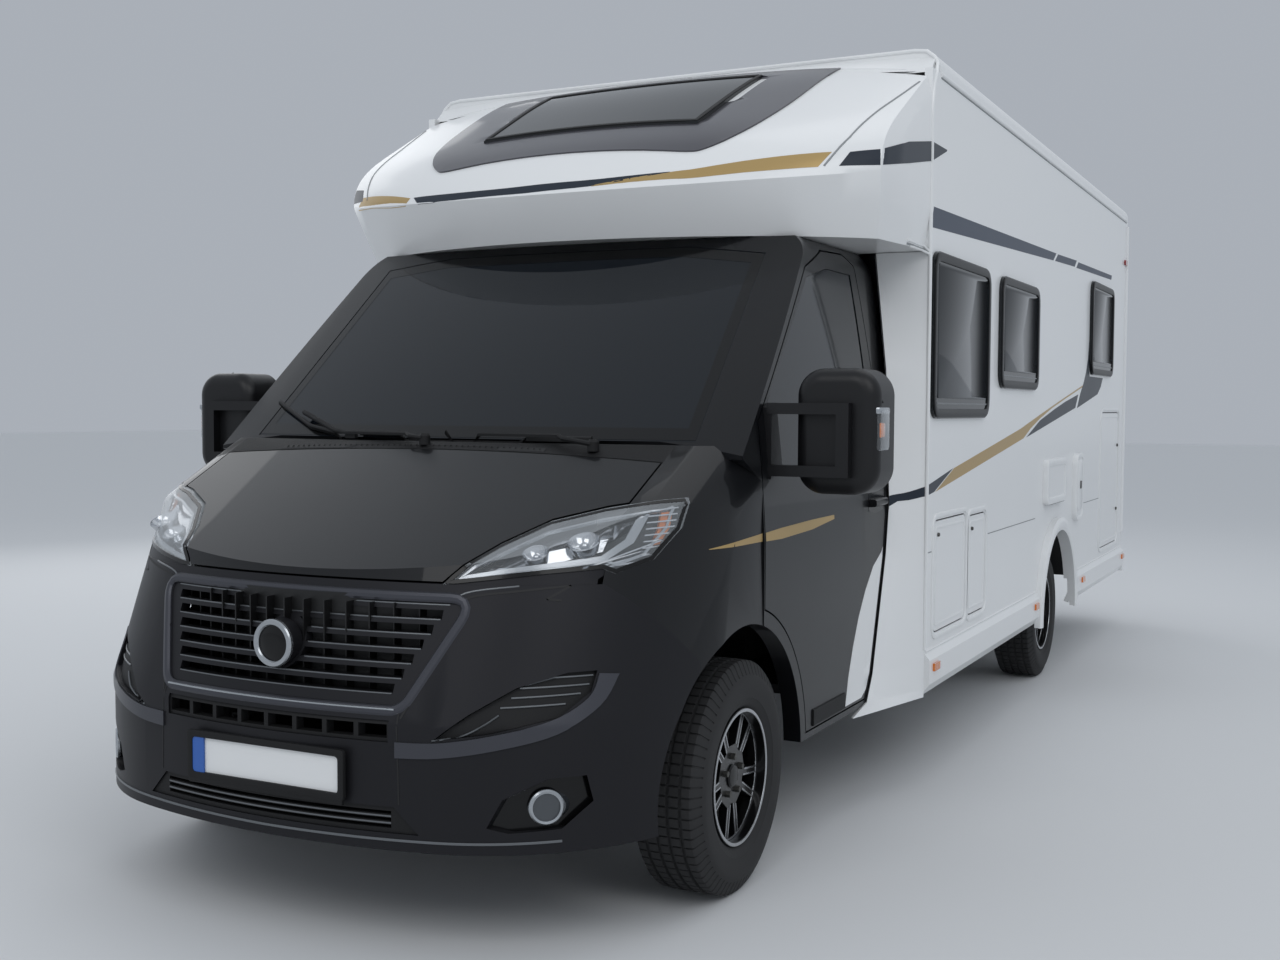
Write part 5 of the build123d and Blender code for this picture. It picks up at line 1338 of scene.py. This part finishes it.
class MOTORHOME_OT_cab_front(bpy.types.Operator):
    """Adds the windscreen's black edge, the wipers and the vents of the scuttle"""

    bl_idname = "motorhome.cab_front"
    bl_label = "Windscreen and wipers"

    def execute(self, context):
        body = "windscreen"
        glass = ("windscreen",)
        outer = inset_outline(GLASS_FRIT, 0.004)
        inner = inset_outline(GLASS_FRIT, 0.040)
        pairs = [(place(1.0, *a), place(1.0, *b)) for a, b in zip(outer, inner)]
        frit = band(pairs, glass, lift=0.0008, depth=0.002, step=0.04, direction=AHEAD,
                    closed=True)
        add_piece("windscreen_frit", frit, "gloss_black", body)
        blades, arms = [], []
        for blade, arm in zip(WIPERS, WIPER_ARMS):
            blades.append(bead(spaced(blade), glass + ("scuttle_panel",),
                               flat_section(0.012, 0.006, 0.024, 0.004), 0.03))
            arms.append(bead(spaced(arm), glass + ("scuttle_panel", "bonnet"),
                             flat_section(0.016, 0.020, 0.032, 0.004), 0.03))
            pivot = settle(place(*arm[-1]), ("scuttle_panel",))
            arms.append(lathe([(0.0, 0.0), (0.0, 0.018), (0.028, 0.018), (0.036, 0.012),
                               (0.036, 0.0)], pivot[0], "Z", 20))
        add_piece("wiper_blades", blades, "seal_black", body)
        add_piece("wiper_arms", arms, "grained_black", body)
        cowl = "scuttle_panel"
        vents = [(place(*a, 1.3), place(*b, 1.3)) for a, b in COWL_VENT]
        louvres = [bead([place(0.733, y, 1.3), place(0.784, y, 1.3)], (cowl,),
                        flat_section(0.005, -0.001, 0.004, 0.001), 0.03, False, DOWN)
                   for y in spread(-0.58, 0.40, 46)]
        add_piece("cowl_vent", band(vents, (cowl,), lift=0.001, depth=0.002, direction=DOWN),
                  "seal_black", cowl)
        add_piece("cowl_louvres", louvres, "grained_black", cowl)
        return {"FINISHED"}


class MOTORHOME_OT_cab_sides(bpy.types.Operator):
    """Adds the gold points, white patches, handles and lower mouldings of the cab's sides"""

    bl_idname = "motorhome.cab_sides"
    bl_label = "Cab sides"

    def execute(self, context):
        for side, name in SIDES:
            inward = (0, -side, 0)
            door = "cab_door_" + name
            points = [(side_settled(s, high, side), side_settled(s, low, side), s)
                      for s, high, low in DECAL]
            wing = [(a, b) for a, b, s in points if s < DOOR_SPLIT]
            split = DOOR_SPLIT - 0.006
            wing.append((side_settled(split, 1.0735, side), side_settled(split, 1.0485, side)))
            after = DOOR_SPLIT + 0.008
            leaf = [(side_settled(after, 1.0742, side), side_settled(after, 1.0483, side))]
            leaf += [(a, b) for a, b, s in points if s > DOOR_SPLIT]
            white = [(side_settled(s, z, side), side_settled(2.278, z, side))
                     for z, s in DOOR_WHITE]
            for label, strip, node, across, key in (
                    ("wing_gold_point_", wing, "front_wings", 3, "gold_film"),
                    ("door_gold_point_", leaf, door, 3, "gold_film"),
                    ("door_white_patch_", white, door, 5, "coach_white")):
                film = band(strip, (node,), lift=0.001, direction=inward, across=across)
                add_piece(label + name, film, key, node)
            handle = [side_settled(s, z, side) for s, z in ((2.10, 1.105), (2.24, 1.108))]
            grip = bead(handle, (door,), [(-0.014, -0.002), (0.014, -0.002), (0.014, 0.020),
                                          (0.008, 0.027), (-0.008, 0.027), (-0.014, 0.020)],
                        0.02, False, inward)
            bowl = [(side_settled(2.085, 1.075, side), side_settled(2.085, 1.140, side)),
                    (side_settled(2.17, 1.066, side), side_settled(2.17, 1.150, side)),
                    (side_settled(2.255, 1.075, side), side_settled(2.255, 1.140, side))]
            add_piece("door_handle_" + name, grip, "cab_black", door)
            add_piece("door_handle_bowl_" + name,
                      band(bowl, (door,), lift=0.001, depth=0.002, direction=inward),
                      "gloss_black", door)
            sill = bead([side_settled(s, 0.425, side) for s in (1.50, 1.60, 1.70, 1.82)], (door,),
                        [(-0.030, -0.002), (0.030, -0.002), (0.026, 0.006), (-0.026, 0.006)],
                        0.03, False, inward)
            add_piece("door_lower_moulding_" + name, sill, "grained_black", door)
        return {"FINISHED"}


class MOTORHOME_OT_mirrors(bpy.types.Operator):
    """Fits the door mirrors with glass, repeaters and a seam on each cap"""

    bl_idname = "motorhome.mirrors"
    bl_label = "Door mirrors"

    def execute(self, context):
        for side, name in SIDES:
            body = "mirror_" + name
            x = NOSE_X - 1.3225
            glass = [slab(face_outline(x, 1.103 * side, 1.323 * side, low, high, 0.055),
                          (-0.004, 0, 0), 0.001) for low, high in ((1.30, 1.552), (1.215, 1.288))]
            add_piece("mirror_glass_" + name, glass, "mirror_glass", body)
            # The satin strip along the top of each repeater is a painted highlight
            for label, near, far, key, slot, bevel in (
                    ("lens", (1.262, 1.322, 1.325), (1.172, 1.352, 1.455), "lamp_cover",
                     "lamp_lens", 0.012),
                    ("bulb", (1.235, 1.320, 1.362), (1.180, 1.346, 1.415), "amber_lens", None,
                     0.008),
                    ("top", (1.266, 1.320, 1.436), (1.168, 1.350, 1.458), "satin_metal", None,
                     0.006)):
                ends = [place(s, y * side, z) for s, y, z in (near, far)]
                add_piece("mirror_repeater_" + label + "_" + name, block(*ends, bevel), key,
                          body)
            seam = rod([place(1.20, 1.205 * side, 1.577), place(1.20, 1.32 * side, 1.54),
                        place(1.20, 1.347 * side, 1.47)], 0.0015, 6, normal=(1, 0, 0))
            add_piece("mirror_cap_seam_" + name, seam, "seal_black", body)
        return {"FINISHED"}


WHEEL_CENTRES = {"front": 0.905, "rear": 0.990}
RIM_FACE = 0.066
BARREL_END = 0.097
# Half of the tyre's section: across, radius and whether a sipe cuts it
TYRE_HALF = ((0.0885, 0.2056, 0), (0.0935, 0.2100, 0), (0.1000, 0.2200, 0), (0.1040, 0.2330, 0),
             (0.1068, 0.2365, 0), (0.1074, 0.2420, 0), (0.1105, 0.2650, 0), (0.1118, 0.2860, 0),
             (0.1108, 0.2960, 0), (0.1070, 0.3060, 0), (0.1040, 0.3110, 1), (0.0975, 0.3270, 1),
             (0.0915, 0.3420, 1), (0.0860, 0.3480, 1), (0.0630, 0.3494, 1), (0.0610, 0.3415, 0),
             (0.0530, 0.3415, 0), (0.0510, 0.3496, 1), (0.0240, 0.3499, 1), (0.0220, 0.3420, 0),
             (0.0140, 0.3420, 0), (0.0120, 0.3500, 1))
SIPE_STEPS = ((0.0, 0), (0.40, 0), (0.44, 1), (0.56, 1), (0.60, 0), (1.0, 0))


def axle_group():
    """Shared effect: a sector's copies set round the axle and joined into one mesh."""
    found = bpy.data.node_groups.get("Repeat round axle")
    if found:
        return found
    tree = new_group(
        "Repeat round axle", "GeometryNodeTree",
        (("Geometry", "Geometry", None), ("Count", "Int", 5), ("Material", "Material", None)),
        (("Geometry", "Geometry"),))
    given = add_node(tree, "NodeGroupInput").outputs
    line = add_node(tree, "GeometryNodeMeshLine",
                    {"Offset": (0, 0, 0), "Count": given["Count"]})
    index = add_node(tree, "GeometryNodeInputIndex")
    share = add_node(tree, "ShaderNodeMath", {0: index.outputs["Index"], 1: given["Count"]},
                     operation="DIVIDE")
    angle = add_node(tree, "ShaderNodeMath", {0: share.outputs[0], 1: 2 * math.pi},
                     operation="MULTIPLY")
    turn = add_node(tree, "ShaderNodeCombineXYZ", {"Y": angle.outputs[0]})
    copies = add_node(tree, "GeometryNodeInstanceOnPoints",
                      {"Points": line.outputs["Mesh"], "Instance": given["Geometry"],
                       "Rotation": turn.outputs["Vector"]})
    real = add_node(tree, "GeometryNodeRealizeInstances",
                    {"Geometry": copies.outputs["Instances"]})
    merge = add_node(tree, "GeometryNodeMergeByDistance",
                     {"Geometry": real.outputs["Geometry"], "Distance": 0.00005})
    paint = add_node(tree, "GeometryNodeSetMaterial",
                     {"Geometry": merge.outputs["Geometry"], "Material": given["Material"]})
    add_node(tree, "NodeGroupOutput", {"Geometry": paint.outputs["Geometry"]})
    return tree


def around_axle(name, sector, count, centre, key, carrier, replaces=(), degrees=32):
    """Repeats a sector about the axle with the shared node group and sets it at a wheel."""
    mesh = bpy.data.meshes.new(name + "_sector")
    sector.to_mesh(mesh)
    sector.free()
    holder = bpy.data.objects.new(name + "_sector", mesh)
    bpy.context.scene.collection.objects.link(holder)
    modifier = holder.modifiers.new("Repeat", "NODES")
    modifier.node_group = axle_group()
    values = {"Count": count, "Material": look(key)}
    for item in modifier.node_group.interface.items_tree:
        if item.item_type == "SOCKET" and item.in_out == "INPUT" and item.name in values:
            modifier[item.identifier] = values[item.name]
    graph = bpy.context.evaluated_depsgraph_get()
    result = bpy.data.meshes.new_from_object(holder.evaluated_get(graph), depsgraph=graph)
    bpy.data.objects.remove(holder)
    result.name = name
    result.transform(Matrix.Translation(centre))
    bm = bmesh.new()
    bm.from_mesh(result)
    bmesh.ops.recalc_face_normals(bm, faces=bm.faces)
    bm.to_mesh(result)
    bm.free()
    smooth_by_angle(result, degrees)
    return finish_piece(name, result, key, carrier, replaces)


def tread_sector(pitches, depth):
    """One pitch of the tyre, open where the next one joins it."""
    section = list(TYRE_HALF) + [(-a, r, s) for a, r, s in reversed(TYRE_HALF)]
    bm = bmesh.new()
    rings = []
    for share, sipe in SIPE_STEPS:
        angle = share * 2 * math.pi / pitches
        ring = []
        for across, radius, cut in section:
            r = radius - (depth * 0.7 if sipe and cut else 0.0)
            ring.append(bm.verts.new((r * math.sin(angle), across, r * math.cos(angle))))
        rings.append(ring)
    for ring, ahead in zip(rings, rings[1:]):
        bridge(bm, ahead, ring)
    return bm


def spoke_edge(points, side):
    """A machined strip on the face of a spoke. Points are (along, across) in metres."""
    return [Vector((across, RIM_FACE * side, -along)) for along, across in points]


class MOTORHOME_OT_wheels(bpy.types.Operator):
    """Cuts the tyres' tread and gives the alloy wheels machined edges, bolts and plain caps"""

    bl_idname = "motorhome.wheels"
    bl_label = "Wheels and tyres"

    def execute(self, context):
        values = settings()
        for end, across in WHEEL_CENTRES.items():
            for side, hand in SIDES:
                node = "wheel_" + end + "_" + hand
                tyre = "tyre_" + end + "_" + hand
                centre = Vector((AXLES[end], across * side, WHEEL_HEIGHT))
                around_axle(tyre + "_tread", tread_sector(values.tread_pitches,
                                                          values.tread_depth),
                            values.tread_pitches, centre, "tyre_rubber", tyre,
                            [tyre], degrees=26)
                strips = []
                for hand_sign in (1, -1):
                    for shape in (((0.086, 0.0095), (0.184, 0.0275), (0.184, 0.0325),
                                   (0.086, 0.0140)),
                                  ((0.091, 0.0280), (0.180, 0.0440), (0.180, 0.0490),
                                   (0.091, 0.0325))):
                        outline = spoke_edge([(a, b * hand_sign) for a, b in shape], side)
                        strips.append(slab(outline, (0, 0.0016 * side, 0)))
                around_axle(node + "_machined", joined(strips), 5, centre, "machined_alloy",
                            node)
                bolt = bmesh.new()
                bmesh.ops.create_cone(
                    bolt, cap_ends=True, segments=6, radius1=0.0105, radius2=0.0095, depth=0.014,
                    matrix=Matrix.Translation((0.0, (RIM_FACE + 0.006) * side, 0.059))
                    @ Matrix.Rotation(math.radians(-90 * side), 4, "X"))
                around_axle(node + "_bolts", bolt, 5, centre, "bare_steel", node,
                            degrees=20)
                ring = lathe([(BARREL_END - 0.002, 0.1935), (BARREL_END + 0.0016, 0.1945),
                              (BARREL_END + 0.0016, 0.2035), (BARREL_END - 0.002, 0.2045)],
                             centre, "Y", 72, side)
                face = lathe([(RIM_FACE - 0.001, 0.1865), (RIM_FACE + 0.0016, 0.1872),
                              (RIM_FACE + 0.0016, 0.1915), (RIM_FACE - 0.001, 0.1922)],
                             centre, "Y", 72, side)
                add_piece(node + "_bright_rings", [ring, face], "machined_alloy", node)
                cap = lathe([(RIM_FACE - 0.004, 0.0), (RIM_FACE - 0.004, 0.036),
                             (RIM_FACE + 0.004, 0.036), (RIM_FACE + 0.008, 0.031),
                             (RIM_FACE + 0.010, 0.016), (RIM_FACE + 0.0105, 0.0)],
                            centre, "Y", 40, side)
                add_piece(node + "_cap", cap, "gloss_black", node)
                disc = lathe([(-0.012, 0.060), (-0.012, 0.146), (0.012, 0.146), (0.012, 0.060)],
                             centre, "Y", 60, side)
                add_piece(node + "_brake_disc", disc, "bare_steel", node)
        return {"FINISHED"}


class MOTORHOME_OT_tail(bpy.types.Operator):
    """Adds the cells of the tail lamps, plate frame, brake lamp, reflectors and roof flanges"""

    bl_idname = "motorhome.tail"
    bl_label = "Tail and roof"

    def execute(self, context):
        lamps = "rear_lamps"
        x = NOSE_X - 7.363
        rims, ambers, clears, reds = [], [], [], []
        for side, _ in SIDES:
            near, far = 1.025 * side, 1.125 * side
            outer, inner = [face_outline(x + 0.012, near, far, 0.65, 1.05, 0.02, grow)
                            for grow in (0.018, 0.004)]
            rims.append(ring_slab(outer, inner, (-0.016, 0, 0), 0.003))
            for cells, low, high in ((ambers, 0.93, 1.04), (reds, 0.79, 0.91),
                                     (clears, 0.67, 0.77)):
                cell = face_outline(x, near, far, low, high, 0.02, -0.006)
                cells.append(slab(cell, (-0.004, 0, 0), 0.002))
        add_piece("tail_lamp_rims", rims, "gloss_black", lamps)
        add_piece("tail_lamp_ambers", ambers, "amber_lens", lamps)
        add_piece("tail_lamp_reds", reds, "red_lens", lamps)
        add_piece("tail_lamp_clears", clears, "roof_lens", lamps)
        plate = "number_plates"
        holder = plate_frame(NOSE_X - 7.339, 0.705, -0.004, 0.0015)
        add_piece("rear_plate_holder", holder, "grained_black", plate)
        lights = block((NOSE_X - 7.352, -0.09, 0.835), (NOSE_X - 7.328, 0.09, 0.862), 0.006)
        add_piece("rear_plate_light", lights, "grained_black", plate)
        wall = "rear_wall"
        face = NOSE_X - 7.331
        high = block((face - 0.014, -0.16, 2.60), (face + 0.002, 0.16, 2.63), 0.005)
        add_piece("high_brake_lamp", high, "red_lens", wall)
        trims = [rod([(face, y, 0.63), (face, y, 2.74)], 0.009, 10, normal=(1, 0, 0))
                 for y in (-1.115, 1.115)]
        trims.append(rod([(face, -1.10, 2.745), (face, 1.10, 2.745)], 0.009, 10))
        add_piece("rear_wall_trims", trims, "coach_white", wall)
        bumper = "rear_bumper"
        tail = NOSE_X - 7.400
        pads = [block((tail - 0.004, y - 0.16, 0.40), (tail + 0.01, y + 0.16, 0.44), 0.003)
                for y in (-0.80, 0.80)]
        add_piece("rear_bumper_reflectors", pads, "red_lens", bumper)
        roof = "roof_lights"
        frames = []
        for setback, y, long, wide in ((3.1, 0, 0.7, 0.5), (4.7, -0.35, 0.4, 0.4),
                                       (6.5, 0, 0.4, 0.4)):
            frames.append(block(place(setback + long / 2 + 0.012, y - wide / 2 - 0.012, 2.829),
                                place(setback - long / 2 - 0.012, y + wide / 2 + 0.012, 2.836),
                                0.002))
        add_piece("roof_light_flanges", frames, "grained_black", roof)
        return {"FINISHED"}


# Camera of the photograph, found from the vehicle's own corners
CAMERA_PLACE = (6.672, 2.643, 1.451)
CAMERA_AZIMUTH = -153.136
CAMERA_ELEVATION = -2.873
CAMERA_ROLL = 0.295
CAMERA_LENS = 40.29
FLOOR_COLOUR = (0.70, 0.71, 0.72, 1)
BACKDROP_SEEN = {"Color": (0.40, 0.43, 0.475, 1), "Strength": 1.0}
SKY_LIGHT = {"Color": (0.86, 0.92, 1.0, 1), "Strength": 0.60}
# Name, place, size and power of each soft light, and the point that all are turned to
LIGHTS = (("key", (8.0, 7.0, 8.0), 6.0, 190), ("front", (11.0, 0.0, 8.0), 5.0, 150),
          ("top", (-1.5, 2.0, 9.0), 6.0, 70), ("fill", (-3.0, -8.0, 5.0), 5.0, 80),
          ("back", (-8.0, -5.0, 5.5), 4.0, 80))
LIGHT_AIM = (0.5, 0, 1.2)


def floor_material():
    """The matt pale colour of the studio floor."""
    material = bpy.data.materials.new("Studio floor")
    material.use_nodes = True
    shader = material.node_tree.nodes["Principled BSDF"]
    shader.inputs["Base Color"].default_value = FLOOR_COLOUR
    shader.inputs["Roughness"].default_value = 0.95
    return material


class MOTORHOME_OT_stage(bpy.types.Operator):
    """Sets the pale floor, the soft studio light and the photograph's camera"""

    bl_idname = "motorhome.stage"
    bl_label = "Stage"

    def execute(self, context):
        bm = bmesh.new()
        bmesh.ops.create_grid(bm, x_segments=1, y_segments=1, size=60)
        mesh = bpy.data.meshes.new("studio_floor")
        bm.to_mesh(mesh)
        bm.free()
        mesh.materials.append(floor_material())
        floor = bpy.data.objects.new("studio_floor", mesh)
        context.scene.collection.objects.link(floor)

        camera = bpy.data.objects.new("camera", bpy.data.cameras.new("camera"))
        context.scene.collection.objects.link(camera)
        azimuth = math.radians(CAMERA_AZIMUTH)
        elevation = math.radians(CAMERA_ELEVATION)
        forward = Vector((math.cos(elevation) * math.cos(azimuth),
                          math.cos(elevation) * math.sin(azimuth), math.sin(elevation)))
        right = forward.cross(Vector((0, 0, 1))).normalized()
        up = right.cross(forward)
        roll = math.radians(CAMERA_ROLL)
        rolled = right * math.cos(roll) + up * math.sin(roll)
        top = up * math.cos(roll) - right * math.sin(roll)
        camera.matrix_world = Matrix.Translation(CAMERA_PLACE) @ Matrix(
            (rolled, top, -forward)).transposed().to_4x4()
        camera.data.sensor_width = 36
        camera.data.lens = CAMERA_LENS
        context.scene.camera = camera

        world = bpy.data.worlds.new("Studio")
        world.use_nodes = True
        context.scene.world = world
        tree = world.node_tree
        seen = tree.nodes["Background"]
        for name, value in BACKDROP_SEEN.items():
            seen.inputs[name].default_value = value
        light = add_node(tree, "ShaderNodeBackground", SKY_LIGHT)
        path = add_node(tree, "ShaderNodeLightPath")
        mix = add_node(tree, "ShaderNodeMixShader", {
            "Fac": path.outputs["Is Camera Ray"], 1: light.outputs["Background"],
            2: seen.outputs["Background"]})
        tree.links.new(mix.outputs["Shader"], tree.nodes["World Output"].inputs["Surface"])

        for name, place_at, size, energy in LIGHTS:
            lamp = bpy.data.lights.new(name, "AREA")
            lamp.size = size
            lamp.energy = energy
            holder = bpy.data.objects.new(name, lamp)
            context.scene.collection.objects.link(holder)
            holder.location = place_at
            aim = Vector(LIGHT_AIM) - Vector(place_at)
            holder.rotation_euler = aim.to_track_quat("-Z", "Y").to_euler()
        context.scene.view_settings.view_transform = "Standard"
        return {"FINISHED"}


OPERATORS = (
    MOTORHOME_OT_panels, MOTORHOME_OT_cap, MOTORHOME_OT_graphics, MOTORHOME_OT_windows,
    MOTORHOME_OT_flaps, MOTORHOME_OT_side_fittings, MOTORHOME_OT_grille, MOTORHOME_OT_bumper,
    MOTORHOME_OT_headlamps, MOTORHOME_OT_cab_front, MOTORHOME_OT_cab_sides,
    MOTORHOME_OT_mirrors, MOTORHOME_OT_wheels, MOTORHOME_OT_tail, MOTORHOME_OT_stage)


class MOTORHOME_PT_sidebar(bpy.types.Panel):
    """Shows the motorhome's settings and the buttons that make its pieces"""

    bl_label = "Motorhome"
    bl_idname = "MOTORHOME_PT_sidebar"
    bl_space_type = "VIEW_3D"
    bl_region_type = "UI"
    bl_category = "Motorhome"

    def draw(self, context):
        column = self.layout.column()
        for name in MotorhomeSettings.__annotations__:
            column.prop(context.scene.motorhome, name)
        for operator in OPERATORS:
            column.operator(operator.bl_idname)


CLASSES = (MotorhomeSettings, *OPERATORS, MOTORHOME_PT_sidebar)


def register():
    for cls in CLASSES:
        bpy.utils.register_class(cls)
    bpy.types.Scene.motorhome = PointerProperty(type=MotorhomeSettings)


def unregister():
    del bpy.types.Scene.motorhome
    for cls in reversed(CLASSES):
        bpy.utils.unregister_class(cls)


def main():
    register()
    for operator in OPERATORS:
        group, name = operator.bl_idname.split(".")
        getattr(getattr(bpy.ops, group), name)()


if __name__ == "__main__":
    main()
